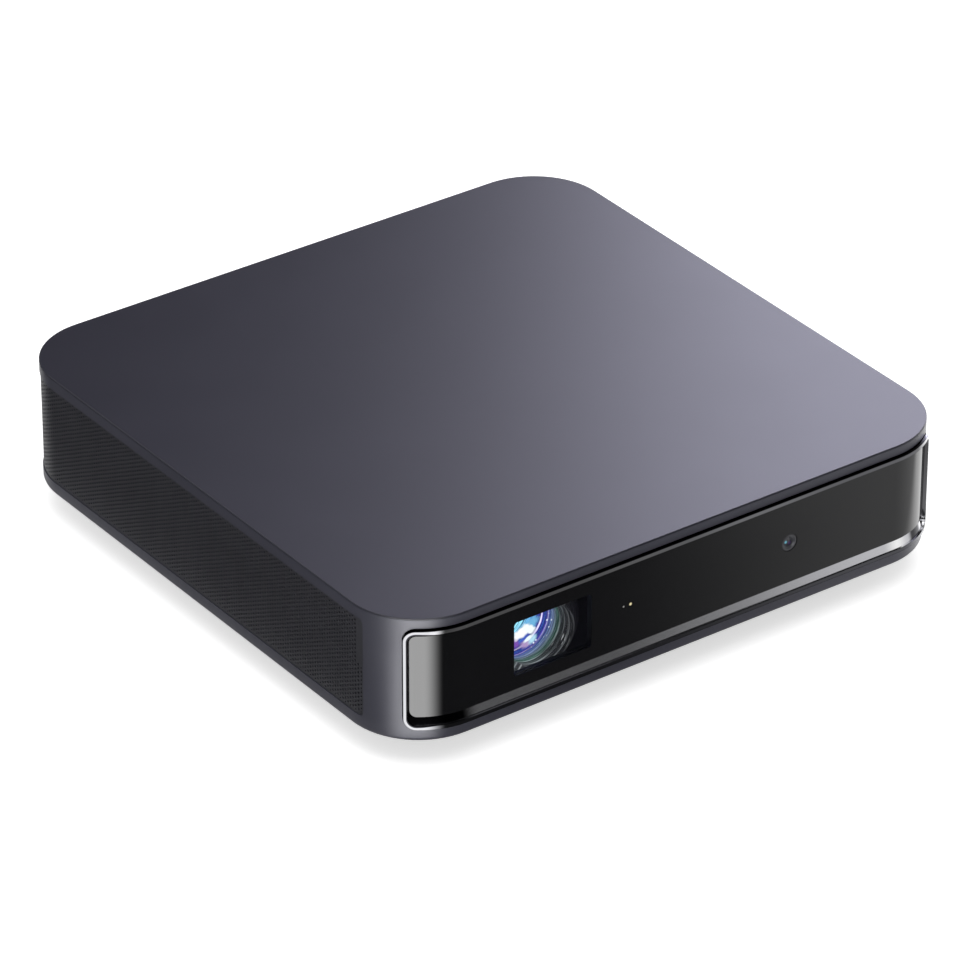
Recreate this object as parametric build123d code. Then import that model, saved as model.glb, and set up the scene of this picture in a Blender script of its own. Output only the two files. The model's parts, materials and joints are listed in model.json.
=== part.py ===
from build123d import *
import math
import os

# Square table-top projector, in millimetres. +Z is up, the lens looks along -Y, and the
# origin is on the table under the middle of the casing.

# Gaps
SEAT = 0.1                # between a piece and the face that carries it
RUN = 0.05                # round a turning or sliding shaft
FREE = 0.3                # round a piece that moves past another

# Casing
WIDTH = 195.0
DEPTH = 195.0
CORNER_R = 22.5
WALL = 2.4
EDGE_ROUND = 1.5
LEDGE_W = 2.0
LEDGE_T = 1.4

# Height stack
FOOT_PROUD = 1.5
PLINTH_H = 6.5
BASE_SUNK = 0.2
BASE_T = 1.8
FLOOR_CLEAR = 0.8
HEADROOM = 2.5
TOP_T = 1.8
RIM_W = 0.45
TOP_LIP = 0.4
SEAM = 0.12
TOP_CHAMFER = 0.2

# Front opening: band heights are from the casing's top and bottom edges
RING_BELOW_TOP = 3.5
RING_ABOVE_BASE = 4.44
RING_END = 45.95          # degrees round each front corner
RING_R = 3.5
RING_PROUD = 1.0
RING_BACK = 3.7
LIP_TOP = 1.21
LIP_BOTTOM = 1.15
LIP_SIDE = 1.0
GAP_TOP = 0.4
GAP_BOTTOM = 0.3
GAP_SIDE = 0.44
FLANGE_LAP = 0.3
FLANGE_LAP_TOP = 0.6
FLANGE_FRONT = 2.7
CHIN_H = 2.34
CHIN_SLOPE_IN = 0.7
CHIN_PROUD = 0.4
PANEL_INSET = 0.2
PANEL_T = 2.4
PANEL_GAP = 0.94
PANEL_SIDE_GAP = 0.55
PANEL_R = 2.0
PANEL_SEAT_W = 2.0

# What looks out of the front
LENS_SHARE = 45.4 / 195.0  # of the width, left of the middle
WINDOW_RISE = 1.89        # window centre above the lens axis
WINDOW_OFF = 0.29
WINDOW_W = 26.4
WINDOW_H = 17.2
WINDOW_R = 1.0
GLASS_T = 1.2
SEAL_RIM = 1.2
SEAL_BORDER = 1.8
SEAL_T = 1.4
CAMERA_SHARE = 36.81 / 195.0
CAMERA_R = 2.7
CAMERA_BODY = 9.0
CAMERA_DEPTH = 5.8
SENSOR_SHARE = 20.19 / 195.0
SENSOR_EYE_GAP = 2.4
SENSOR_EYE_R = 0.75
SENSOR_DOT_R = 0.45
SENSOR_W = 9.0
SENSOR_H = 4.2
SENSOR_T = 3.0

# Grilles
GRILLE_BELOW_TOP = 3.75
GRILLE_ABOVE_BASE = 4.35
GRILLE_FRONT_END = 77.7   # degrees round the front corner
GRILLE_REAR_RUN = 5.0     # past the rear corner, along the rear wall
GRILLE_R = 1.75
GRILLE_T = 0.7
GRILLE_SUNK = 0.3
GRILLE_SHELF = 1.2

# Underside
PLINTH_INSET = 17.0
PLINTH_R = 12.0
PLINTH_WALL = 2.5
PLINTH_FLOOR = 2.0
FOOT_R = 9.0
FOOT_PLACE = 18.5         # foot centre in from the plinth's edge
FOOT_POCKET = 1.0
VENT_W = 2.4
VENT_L = 44.0
VENT_PITCH = 5.0
VENT_COUNT = 6
TRIPOD_BORE_R = 2.55
TRIPOD_NUT_R = 6.0
TRIPOD_BOSS_R = 8.0
CASE_SCREW_PLACE = 14.0   # screw axis in from the casing's side
CASE_SCREW_R = 1.35
CASE_SCREW_L = 16.0
CASE_SCREW_HEAD_R = 2.8
CASE_SCREW_HEAD_T = 1.2
CASE_BOSS_R = 3.4
PLINTH_SCREW_R = 1.2
PLINTH_SCREW_HEAD_R = 2.5
PLINTH_SCREW_HEAD_T = 1.4
PLINTH_SCREW_PLACE = 9.0

# Lens and its focus drive
GEAR_MODULE = 0.6
RING_TEETH = 52
PINION_TEETH = 18
PRESSURE_ANGLE = 20.0
BACKLASH = 0.16
BARREL_R = 13.6
BARREL_L = 36.2
BARREL_FLANGE_T = 3.0
TUBE_R = 12.4
TUBE_WALL = 1.2
BELL_R = 14.0
BELL_SETBACK = 7.5
BELL_L = 14.0
BELL_WALL = 1.0
FOCUS_TRAVEL = 1.2
LENS_GLASS_T = 5.0
FRONT_BULGE = 3.0
INNER_GLASS_T = 4.0
INNER_BULGE = 2.2
INNER_PITCH = 10.0
INNER_COUNT = 3
LENS_SETBACK = 1.0        # glass behind the bell's mouth
GEAR_W = 4.0
GEAR_FROM_FLANGE = 12.0
COLLAR_T = 1.0
COLLAR_R = 14.7
MOTOR_R = 5.0
MOTOR_SHAFT_R = 0.75
MOTOR_SHAFT_IN = 8.0

# Light engine
ENGINE_LEFT = 30.6        # from the lens axis
ENGINE_RIGHT = 27.0
ENGINE_L = 50.0
ENGINE_WALL = 1.8
ENGINE_LID_T = 1.5
ENGINE_TOP_CLEAR = 1.6
LENS_PORT_R = 11.0
PRISM = 18.0
CHIP_W = 20.0
CHIP_H = 14.0
CHIP_T = 3.0
CHIP_BOARD_W = 30.0
CHIP_BOARD_T = 1.6
WHEEL_R = 9.5
WHEEL_T = 1.0
WHEEL_HUB_R = 3.0
WHEEL_SHAFT_R = 1.0
WHEEL_OFF = 6.6           # left of the lens axis
WHEEL_TAIL = 5.0
WHEEL_NOSE = 1.0
WHEEL_MOTOR_R = 7.0
WHEEL_MOTOR_L = 8.0
RELAY_R = 6.0
RELAY_T = 3.0
RELAY_BULGE = 1.5
RELAY_IN = 3.0
RELAY_PITCH = 13.0
LASER_W = 20.0
LASER_D = 24.0
LASER_H = 22.5
COLD_PLATE_D = 18.0

# Cooling
BLOWER_SIZE = 50.0
BLOWER_H = 22.0
BLOWER_LIFT = 0.1
BLOWER_WALL = 1.4
BLOWER_LID_T = 1.2
BLOWER_R = 20.0
BLOWER_BLADES = 26
BLOWER_FRONT = 24.0
BLOWER_MOUTH_R = 14.0
BLOWER_GAP = 1.5
SINK_W = 28.0
FIN_T = 0.6
FIN_PITCH = 2.0
PIPE_R = 2.5
PIPE_LIFT = 0.8
PIPE_BEND_R = 10.0
PIPE_SPACING = 9.0
PIPE_IN_SINK = 9.0
FAN_SIZE = 34.0
FAN_T = 10.0
FAN_BLADES = 7
FAN_HUB_R = 7.0
FAN_SHAFT_R = 0.9
FAN_Y = -45.0

# Sound
BOX_W = 30.8
BOX_BEHIND_ENGINE = 1.5
BOX_REAR = 27.5           # from the casing's rear face
BOX_WALL = 1.6
BOX_HEAD = 1.2
DRIVER_R = 15.5
DRIVER_T = 3.0
CONE_R = 13.0
CONE_DEPTH = 4.0
CONE_T = 0.5
COIL_R = 5.2
COIL_T = 0.5
COIL_L = 5.0
MAGNET_R = 11.0
MAGNET_L = 9.0
CONE_TRAVEL = 1.0

# Electronics and the rear
BOARD_STANDOFF = 2.5
BOARD_T = 1.6
BOARD_BEHIND_ENGINE = 8.0
BOARD_REAR = 4.5          # from the casing's rear face
BOARD_SIDE_GAP = 4.0
BOARD_HOLE_IN = 4.0
BOARD_SCREW_R = 1.2
BOARD_SCREW_HEAD_R = 2.4
BOARD_SCREW_HEAD_T = 1.3
POST_R = 3.0
SHIELD_D = 36.0
SHIELD_BY_COILS = 8.0
SHIELD_H = 3.0
REAR_END = 10.0          # past the first and last socket
REAR_Z_LOW = 3.0          # above the casing's inner floor
REAR_Z_HIGH = 17.0
REAR_R = 2.0
REAR_SUNK = 0.4
REAR_LAP = 1.3
REAR_FLANGE_T = 1.2
PORT_CLEAR = 0.2
PORT_SUNK = 0.5
DC_FROM_EDGE = 20.0       # in from the board's side
DC_SIZE = (9.0, 14.0, 11.0)
DC_BORE_R = 2.8
DC_PIN_R = 1.0
DC_DEPTH = 10.0
HDMI_SHARE = 16.0 / 195.0
HDMI_SIZE = (15.0, 12.0, 6.0)
HDMI_MOUTH = (14.0, 4.5)
HDMI_TONGUE = (10.0, 0.9)
HDMI_DEPTH = 9.0
USB_SHARE = 4.0 / 195.0
USB_SIZE = (14.5, 14.0, 7.0)
USB_MOUTH = (12.5, 5.1)
USB_TONGUE = (11.0, 1.8)
USB_DEPTH = 11.5
AUDIO_SHARE = 20.0 / 195.0
AUDIO_SIZE = (7.0, 13.0, 5.2)
AUDIO_BORE_R = 1.8
AUDIO_DEPTH = 12.0
LED_BY_BUTTON = 11.0
LED_R = 1.0
BUTTON_FROM_EDGE = 14.0
BUTTON_RISE = 6.0         # above the board's top face
BUTTON_R = 4.0
BUTTON_FLANGE = 1.0
BUTTON_TRAVEL = 0.6
BUTTON_RUN = 0.1
SWITCH_W = 6.0
SWITCH_D = 4.5
RIBBON_W = 6.0
RIBBON_T = 0.3
RIBBON_BY_LASER = 5.3     # ribbon's middle to the laser's side
RIBBON_BY_BLOWER = 6.3    # ribbon's middle to the blower's side
RIBBON_FROM_FRONT = 12.5
COIL_BLOCK = 10.0
COIL_BLOCK_H = 5.0
COIL_BLOCK_FROM_EDGE = 22.0
COIL_BLOCK_PITCH = 14.0
CAP_FROM_EDGE = 12.0
CAP_R = 3.5
CAP_H = 8.0
CAP_PITCH = 9.0
CAP_COUNT = 4
MEMORY_BY_SHIELD = 8.0
MEMORY_W = 12.0
MEMORY_D = 10.0
MEMORY_H = 1.2
MEMORY_PITCH = 13.0
MEMORY_COUNT = 3
PARTS_FROM_EDGE = 10.0
SOCKET_D = 3.0
SOCKET_H = 1.6

# Places that follow from the sizes
half_w = WIDTH / 2
half_d = DEPTH / 2
lens_x = -LENS_SHARE * WIDTH
camera_x = CAMERA_SHARE * WIDTH
sensor_x = -SENSOR_SHARE * WIDTH
wheel_x = lens_x - WHEEL_OFF
front_y = -half_d
base_z = FOOT_PROUD + PLINTH_H
plate_z = base_z + BASE_SUNK
floor_z = plate_z + BASE_T
ring_pitch_r = GEAR_MODULE * RING_TEETH / 2
pinion_pitch_r = GEAR_MODULE * PINION_TEETH / 2
ring_tip_r = ring_pitch_r + GEAR_MODULE
lens_z = floor_z + FLOOR_CLEAR + ring_tip_r
ceiling_z = lens_z + ring_tip_r + HEADROOM
top_z = ceiling_z + TOP_T
rim_z = top_z - TOP_LIP - SEAM
side_x = half_w - WALL - LEDGE_W - FREE
ledge_z = floor_z + SEAT

ring_z0 = base_z + RING_ABOVE_BASE
ring_z1 = top_z - RING_BELOW_TOP
lip_z0 = ring_z0 + LIP_BOTTOM
lip_z1 = ring_z1 - LIP_TOP
deg_per_mm = math.degrees(1 / CORNER_R)
lip_end = RING_END - LIP_SIDE * deg_per_mm
panel_end = lip_end - PANEL_SIDE_GAP * deg_per_mm
panel_z0 = lip_z0 + CHIN_H + SEAT
panel_z1 = lip_z1 - PANEL_GAP
opening_z0 = ring_z0 - GAP_BOTTOM
opening_z1 = ring_z1 + GAP_TOP
panel_front_y = front_y + PANEL_INSET
panel_back_y = panel_front_y + PANEL_T
window_x = lens_x - WINDOW_OFF
window_z = lens_z + WINDOW_RISE
eye_z = window_z + 0.25

grille_z0 = base_z + GRILLE_ABOVE_BASE
grille_z1 = top_z - GRILLE_BELOW_TOP
grille_seat = GRILLE_SUNK + GRILLE_T + SEAT

bell_y = front_y + BELL_SETBACK
bell_back_y = bell_y + BELL_L
barrel_y = bell_back_y + FOCUS_TRAVEL + 2 * FREE
engine_y = barrel_y + BARREL_L
gear_y = engine_y - GEAR_FROM_FLANGE
tube_end_y = engine_y - FOCUS_TRAVEL - BARREL_FLANGE_T
pinion_x = lens_x + ring_pitch_r + pinion_pitch_r

engine_x0 = lens_x - ENGINE_LEFT
engine_x1 = lens_x + ENGINE_RIGHT
engine_y1 = engine_y + ENGINE_L
engine_z0 = floor_z + SEAT
engine_z1 = ceiling_z - ENGINE_TOP_CLEAR - ENGINE_LID_T
prism_y = engine_y + ENGINE_WALL + PRISM / 2 + 2
chip_y = prism_y + PRISM / 2 + SEAT
chip_board_y = chip_y + CHIP_T + SEAT
wheel_y = (chip_board_y + CHIP_BOARD_T + engine_y1 - ENGINE_WALL) / 2
laser_x = engine_x1 + SEAT
laser_y = wheel_y
laser_z1 = engine_z0 + LASER_H

board_z = floor_z + BOARD_STANDOFF
board_top = board_z + BOARD_T
board_y1 = half_d - BOARD_REAR
board_y0 = engine_y1 + BOARD_BEHIND_ENGINE
box_z0 = floor_z + FREE
box_z1 = ceiling_z - BOX_HEAD
box_y1 = half_d - BOX_REAR
box_y0 = engine_y1 + BOX_BEHIND_ENGINE
box_x0 = side_x - BOX_W
board_x = box_x0 - BOARD_SIDE_GAP
dc_x = DC_FROM_EDGE - board_x
hdmi_x = -HDMI_SHARE * WIDTH
usb_x = USB_SHARE * WIDTH
audio_x = AUDIO_SHARE * WIDTH
button_x = board_x - BUTTON_FROM_EDGE
led_x = button_x - LED_BY_BUTTON
rear_x0 = dc_x - REAR_END
rear_x1 = button_x + REAR_END
coil_block_x = COIL_BLOCK_FROM_EDGE - board_x
cap_x = CAP_FROM_EDGE - board_x
shield_x = -(coil_block_x + COIL_BLOCK + SHIELD_BY_COILS)
memory_x = shield_x + MEMORY_BY_SHIELD
port_y = half_d - PORT_SUNK
rear_z0 = floor_z + REAR_Z_LOW
rear_z1 = floor_z + REAR_Z_HIGH
rear_front_y = half_d - WALL - SEAT
rear_flange_y = rear_front_y - REAR_FLANGE_T
button_z = board_top + BUTTON_RISE

sink_x0 = side_x - SINK_W
blower_x1 = sink_x0 - BLOWER_GAP
blower_x0 = blower_x1 - BLOWER_SIZE
blower_y0 = front_y + BLOWER_FRONT
blower_y1 = blower_y0 + BLOWER_SIZE
blower_x = (blower_x0 + blower_x1) / 2
blower_y = (blower_y0 + blower_y1) / 2
blower_z0 = floor_z + BLOWER_LIFT
blower_z1 = blower_z0 + BLOWER_H
ribbon_rear_x = laser_x + LASER_W + RIBBON_BY_LASER
ribbon_front_x = blower_x0 - RIBBON_BY_BLOWER
ribbon_turn_y = (laser_y - LASER_D / 2 + blower_y1) / 2
ribbon_y = front_y + RIBBON_FROM_FRONT
pipe_z = blower_z1 + BLOWER_LID_T + SEAT + PIPE_LIFT + PIPE_R
driver_y = (box_y0 + box_y1) / 2
driver_z = (box_z0 + box_z1) / 2


def slab(sketch, z0, z1):
    """A sketch of the plan, raised between two heights."""
    return Pos(0, 0, z0) * extrude(sketch, z1 - z0)


def box(x0, x1, y0, y1, z0, z1):
    """A block between two corners."""
    return Pos((x0 + x1) / 2, (y0 + y1) / 2, (z0 + z1) / 2) * Box(x1 - x0, y1 - y0, z1 - z0)


def rod_x(y, z, x0, x1, r):
    """A round bar along X."""
    return Pos((x0 + x1) / 2, y, z) * Rot(0, 90, 0) * Cylinder(r, x1 - x0)


def rod_y(x, z, y0, y1, r):
    """A round bar along Y."""
    return Pos(x, (y0 + y1) / 2, z) * Rot(90, 0, 0) * Cylinder(r, y1 - y0)


def rod_z(x, y, z0, z1, r):
    """An upright round bar."""
    return Pos(x, y, (z0 + z1) / 2) * Cylinder(r, z1 - z0)


def pill_y(x, z, y0, y1, w, h, r):
    """A block along Y with four rounded long edges."""
    return Pos(x, y0, z) * Rot(-90, 0, 0) * extrude(RectangleRounded(w, h, r), y1 - y0)


def outline(inset):
    """The casing's plan outline, moved inwards."""
    return RectangleRounded(WIDTH - 2 * inset, DEPTH - 2 * inset, CORNER_R - inset)


def band(outer, inner, z0, z1):
    """A ring of wall between two insets from the casing's outline."""
    return slab(outline(outer), z0, z1) - slab(outline(inner), z0, z1)


def wall_slot(points, ends, z0, z1, r):
    """A prism over a plan polygon whose end faces meet its top and bottom in rounds."""
    prism = slab(make_face(Polyline(*points, close=True)), z0, z1)
    middles = [((points[i][0] + points[j][0]) / 2, (points[i][1] + points[j][1]) / 2) for i, j in ends]
    edges = []
    for edge in prism.edges():
        centre = edge.center()
        level = abs(edge.tangent_at(0.5).Z) < 0.01
        near = any(math.hypot(centre.X - x, centre.Y - y) < 0.01 for x, y in middles)
        if level and near:
            edges.append(edge)
    return fillet(edges, r)


def front_slot(end_deg, z0, z1, r):
    """The front opening's shape, which ends part of the way round both front corners."""
    angle = math.radians(end_deg)
    reach = CORNER_R + WALL + RING_BACK + 8
    x = half_w - CORNER_R
    y = -(half_d - CORNER_R)
    tip_x = x + reach * math.sin(angle)
    tip_y = y - reach * math.cos(angle)
    points = [(-x, y), (-tip_x, tip_y), (tip_x, tip_y), (x, y)]
    return wall_slot(points, [(0, 1), (2, 3)], z0, z1, r)


def grille_slot(shrink):
    """The left grille's opening, shrunk all round."""
    angle = math.radians(GRILLE_FRONT_END + shrink * deg_per_mm)
    reach = CORNER_R + 10
    x = -(half_w - CORNER_R)
    y = half_d - CORNER_R
    rear_x = x + GRILLE_REAR_RUN - shrink
    start = (x - reach * math.sin(angle), -y - reach * math.cos(angle))
    points = [(x, -y), start, (-half_w - 12, half_d + 10), (rear_x, half_d + 10), (rear_x, y)]
    return wall_slot(points, [(0, 1), (3, 4)], grille_z0 + shrink, grille_z1 - shrink, GRILLE_R)


def on_both_sides(shape):
    """A left-hand shape and its mirror image."""
    return [shape, mirror(shape, Plane.YZ)]


def four_places(x, y):
    """The four corners of a rectangle centred on the origin."""
    return [(x, y), (-x, y), (-x, -y), (x, -y)]


case_screws = four_places(half_w - CASE_SCREW_PLACE, half_d - CASE_SCREW_PLACE)
plinth_x = half_w - PLINTH_INSET
plinth_y = half_d - PLINTH_INSET
feet = four_places(plinth_x - FOOT_PLACE, plinth_y - FOOT_PLACE)
plinth_screws = [
    (plinth_x - PLINTH_SCREW_PLACE, 0),
    (0, plinth_y - PLINTH_SCREW_PLACE),
    (PLINTH_SCREW_PLACE - plinth_x, 0),
    (0, PLINTH_SCREW_PLACE - plinth_y),
]
board_screws = [
    (x, y)
    for x in (-board_x + BOARD_HOLE_IN, board_x - BOARD_HOLE_IN)
    for y in (board_y0 + BOARD_HOLE_IN, board_y1 - BOARD_HOLE_IN)
]


def side_frame():
    wall = slab(outline(0), base_z, rim_z)
    bottom = [e for e in wall.edges() if abs(e.center().Z - base_z) < 0.01]
    wall = fillet(bottom, EDGE_ROUND)
    wall -= slab(outline(WALL), base_z - 1, rim_z + 1)
    wall -= slab(outline(RIM_W), ceiling_z - SEAT, rim_z + 1)
    wall += band(WALL - SEAT, WALL + LEDGE_W, ledge_z, ledge_z + LEDGE_T)
    wall -= front_slot(RING_END + GAP_SIDE * deg_per_mm, opening_z0, opening_z1, RING_R + GAP_BOTTOM)
    pocket = band(-1, grille_seat, grille_z0 - 1, grille_z1 + 1)
    for face, hole in zip(on_both_sides(pocket & grille_slot(0)), on_both_sides(grille_slot(GRILLE_SHELF))):
        wall -= face
        wall -= hole
    rear_mid = (rear_x0 + rear_x1) / 2
    height = rear_z1 - rear_z0
    opening = pill_y(rear_mid, (rear_z0 + rear_z1) / 2, half_d - WALL - 1, half_d + 1,
                     rear_x1 - rear_x0, height, REAR_R)
    return wall - opening


def top_cover():
    plate = slab(outline(RIM_W + SEAM), ceiling_z, top_z) + slab(outline(0), top_z - TOP_LIP, top_z)
    edge = [e for e in plate.edges() if abs(e.center().Z - top_z) < 0.01]
    plate = chamfer(edge, TOP_CHAMFER)
    for x, y in case_screws:
        plate += rod_z(x, y, floor_z + SEAT, ceiling_z, CASE_BOSS_R)
    for x, y in case_screws:
        plate -= rod_z(x, y, floor_z, floor_z + CASE_SCREW_L, CASE_SCREW_R + RUN)
    return plate


def vent_slots(z0, z1, x, y):
    """A row of slots along Y, cut as one group."""
    first = x - VENT_PITCH * (VENT_COUNT - 1) / 2
    slots = []
    for i in range(VENT_COUNT):
        place = Pos(first + i * VENT_PITCH, y, z0)
        slots.append(place * extrude(SlotOverall(VENT_L, VENT_W, rotation=90), z1 - z0))
    return slots


def base_plate():
    plate = slab(outline(WALL + SEAT), plate_z, floor_z)
    for x, y in board_screws:
        plate += rod_z(x, y, floor_z - SEAT, board_z - SEAT, POST_R)
        plate -= rod_z(x, y, plate_z + FREE, board_z, BOARD_SCREW_R + RUN)
    for x, y in case_screws:
        plate -= rod_z(x, y, plate_z - 1, floor_z + 1, CASE_SCREW_R + RUN)
        plate -= rod_z(x, y, plate_z - 1, plate_z + CASE_SCREW_HEAD_T, CASE_SCREW_HEAD_R + RUN)
    for x, y in plinth_screws:
        plate -= rod_z(x, y, plate_z - 1, floor_z + 1, PLINTH_SCREW_R + RUN)
    plate -= rod_z(0, 0, plate_z - 1, floor_z + 1, TRIPOD_NUT_R + SEAT)
    for slot in vent_slots(plate_z - 1, floor_z + 1, blower_x, blower_y):
        plate -= slot
    for slot in vent_slots(plate_z - 1, floor_z + 1, -blower_x, half_d / 2):
        plate -= slot
    return plate


def base_plinth():
    size_x = 2 * plinth_x
    size_y = 2 * plinth_y
    top = plate_z - SEAT
    body = slab(RectangleRounded(size_x, size_y, PLINTH_R), FOOT_PROUD, top)
    inner = RectangleRounded(size_x - 2 * PLINTH_WALL, size_y - 2 * PLINTH_WALL, PLINTH_R - PLINTH_WALL)
    body -= slab(inner, FOOT_PROUD + PLINTH_FLOOR, top + 1)
    for x, y in plinth_screws:
        body += rod_z(x, y, FOOT_PROUD + SEAT, top, PLINTH_SCREW_HEAD_R + 1.5)
        body -= rod_z(x, y, FOOT_PROUD - 1, top + 1, PLINTH_SCREW_R + RUN)
        sink_z = FOOT_PROUD + PLINTH_SCREW_HEAD_T + FREE
        body -= rod_z(x, y, FOOT_PROUD - 1, sink_z, PLINTH_SCREW_HEAD_R + SEAT)
    body += rod_z(0, 0, FOOT_PROUD + SEAT, top, TRIPOD_BOSS_R)
    body -= rod_z(0, 0, FOOT_PROUD - 1, top + 1, TRIPOD_NUT_R + SEAT)
    for x, y in feet:
        body -= rod_z(x, y, FOOT_PROUD - 1, FOOT_PROUD + FOOT_POCKET, FOOT_R + SEAT)
    for slot in vent_slots(FOOT_PROUD - 1, FOOT_PROUD + PLINTH_FLOOR + 1, blower_x, blower_y):
        body -= slot
    for slot in vent_slots(FOOT_PROUD - 1, FOOT_PROUD + PLINTH_FLOOR + 1, -blower_x, half_d / 2):
        body -= slot
    return body


def rubber_feet():
    pads = []
    for x, y in feet:
        pad = rod_z(x, y, 0, FOOT_PROUD + FOOT_POCKET - SEAT, FOOT_R)
        rim = [e for e in pad.edges() if abs(e.center().Z) < 0.01]
        pads.append(chamfer(rim, 0.5))
    return pads


def tripod_nut():
    nut = rod_z(0, 0, FOOT_PROUD + SEAT, floor_z - SEAT, TRIPOD_NUT_R)
    return nut - rod_z(0, 0, 0, floor_z + 1, TRIPOD_BORE_R)


def screw_up(x, y, head_z, head_t, head_r, shank_r, length):
    """A pan-head screw that points up, with a cross slot in its head."""
    screw = rod_z(x, y, head_z, head_z + head_t, head_r)
    screw += rod_z(x, y, head_z + head_t - 0.2, head_z + head_t + length, shank_r)
    for angle in (0, 90):
        screw -= Pos(x, y, head_z) * Rot(0, 0, angle) * Box(head_r * 1.1, head_r * 0.25, head_t)
    return screw


def casing_screws():
    head_z = plate_z + SEAT
    length = floor_z + CASE_SCREW_L - SEAT - head_z - CASE_SCREW_HEAD_T
    args = (head_z, CASE_SCREW_HEAD_T - SEAT, CASE_SCREW_HEAD_R, CASE_SCREW_R, length)
    return [screw_up(x, y, *args) for x, y in case_screws]


def plinth_fixings():
    head_z = FOOT_PROUD + FREE - SEAT
    length = floor_z - head_z - PLINTH_SCREW_HEAD_T
    args = (head_z, PLINTH_SCREW_HEAD_T, PLINTH_SCREW_HEAD_R, PLINTH_SCREW_R, length)
    return [screw_up(x, y, *args) for x, y in plinth_screws]


def bezel_ring():
    outer = front_slot(RING_END, ring_z0, ring_z1, RING_R)
    inner = front_slot(lip_end, lip_z0, lip_z1, RING_R - (RING_R - PANEL_R) / 2)
    lip = (band(-RING_PROUD, RING_BACK, ring_z0, ring_z1) & outer) - inner
    lap = FLANGE_LAP + GAP_BOTTOM
    flange = band(FLANGE_FRONT, RING_BACK, opening_z0 - lap, opening_z1 + FLANGE_LAP_TOP)
    flange &= front_slot(RING_END + 4 * lap * deg_per_mm, opening_z0 - FLANGE_LAP,
                         opening_z1 + FLANGE_LAP_TOP, RING_R + lap)
    flange -= front_slot(panel_end - PANEL_SEAT_W * deg_per_mm, panel_z0 + PANEL_SEAT_W,
                         panel_z1 - PANEL_SEAT_W, PANEL_R)
    slope = math.degrees(math.atan(CHIN_SLOPE_IN / CHIN_H))
    chin = Pos(0, 0, lip_z0 - SEAT) * extrude(outline(-CHIN_PROUD), CHIN_H + SEAT, taper=slope)
    chin -= slab(outline(RING_BACK), lip_z0 - 1, panel_z0 + 1)
    chin &= front_slot(lip_end + SEAT * deg_per_mm, lip_z0 - SEAT, lip_z1, PANEL_R)
    return lip + flange + chin


def front_panel():
    panel = band(PANEL_INSET, PANEL_INSET + PANEL_T, panel_z0, panel_z1)
    panel &= front_slot(panel_end, panel_z0, panel_z1, PANEL_R)
    y0 = front_y - 1
    y1 = panel_back_y + 1
    panel -= pill_y(window_x, window_z, y0, y1, WINDOW_W, WINDOW_H, WINDOW_R)
    panel -= rod_y(camera_x, eye_z, y0, y1, CAMERA_R + SEAT)
    panel -= rod_y(sensor_x + SENSOR_EYE_GAP / 2, eye_z, y0, y1, SENSOR_EYE_R + SEAT)
    panel -= rod_y(sensor_x - SENSOR_EYE_GAP / 2, eye_z, y0, y1, SENSOR_DOT_R + SEAT)
    return panel


def lens_window():
    y0 = panel_front_y + RUN
    return pill_y(window_x, window_z, y0, y0 + GLASS_T, WINDOW_W - 2 * SEAT, WINDOW_H - 2 * SEAT, WINDOW_R)


def window_seal():
    rim_y = panel_front_y + RUN + GLASS_T + SEAT
    back_y = panel_back_y + SEAT
    end_y = back_y + SEAL_T
    seal = pill_y(window_x, window_z, back_y, end_y, WINDOW_W + 2 * SEAL_BORDER, WINDOW_H + 2 * SEAL_BORDER, 2)
    seal += pill_y(window_x, window_z, rim_y, end_y, WINDOW_W - 2 * SEAT, WINDOW_H - 2 * SEAT, WINDOW_R)
    return seal - pill_y(window_x, window_z, rim_y - 1, end_y + 1, WINDOW_W - 2 * SEAL_RIM,
                         WINDOW_H - 2 * SEAL_RIM, WINDOW_R)


def camera_module():
    y0 = panel_back_y + SEAT
    half = CAMERA_BODY / 2
    body = box(camera_x - half, camera_x + half, y0, y0 + CAMERA_DEPTH, eye_z - half, eye_z + half)
    body += rod_y(camera_x, eye_z, panel_front_y + 0.2, y0 + 1, CAMERA_R)
    body -= rod_y(camera_x, eye_z, front_y, panel_front_y + 0.6, CAMERA_R - 0.5)
    return body - rod_y(camera_x, eye_z, front_y, y0 + 2, CAMERA_R - 1)


def camera_lens():
    r = CAMERA_R - 1 - SEAT
    return lens_along_y(camera_x, panel_front_y + 0.7, eye_z, r, 1.8, 0.7)


def depth_sensor():
    y0 = panel_back_y + SEAT
    body = box(sensor_x - SENSOR_W / 2, sensor_x + SENSOR_W / 2, y0, y0 + SENSOR_T,
               eye_z - SENSOR_H / 2, eye_z + SENSOR_H / 2)
    for x, r in ((SENSOR_EYE_GAP / 2, SENSOR_EYE_R), (-SENSOR_EYE_GAP / 2, SENSOR_DOT_R)):
        body += rod_y(sensor_x + x, eye_z, panel_front_y + 0.1, y0 + 1, r)
    return body


def grilles():
    shape = band(GRILLE_SUNK, GRILLE_SUNK + GRILLE_T, grille_z0, grille_z1) & grille_slot(SEAT)
    return on_both_sides(shape)


def involute(angle):
    """The involute function."""
    return math.tan(angle) - angle


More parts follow.
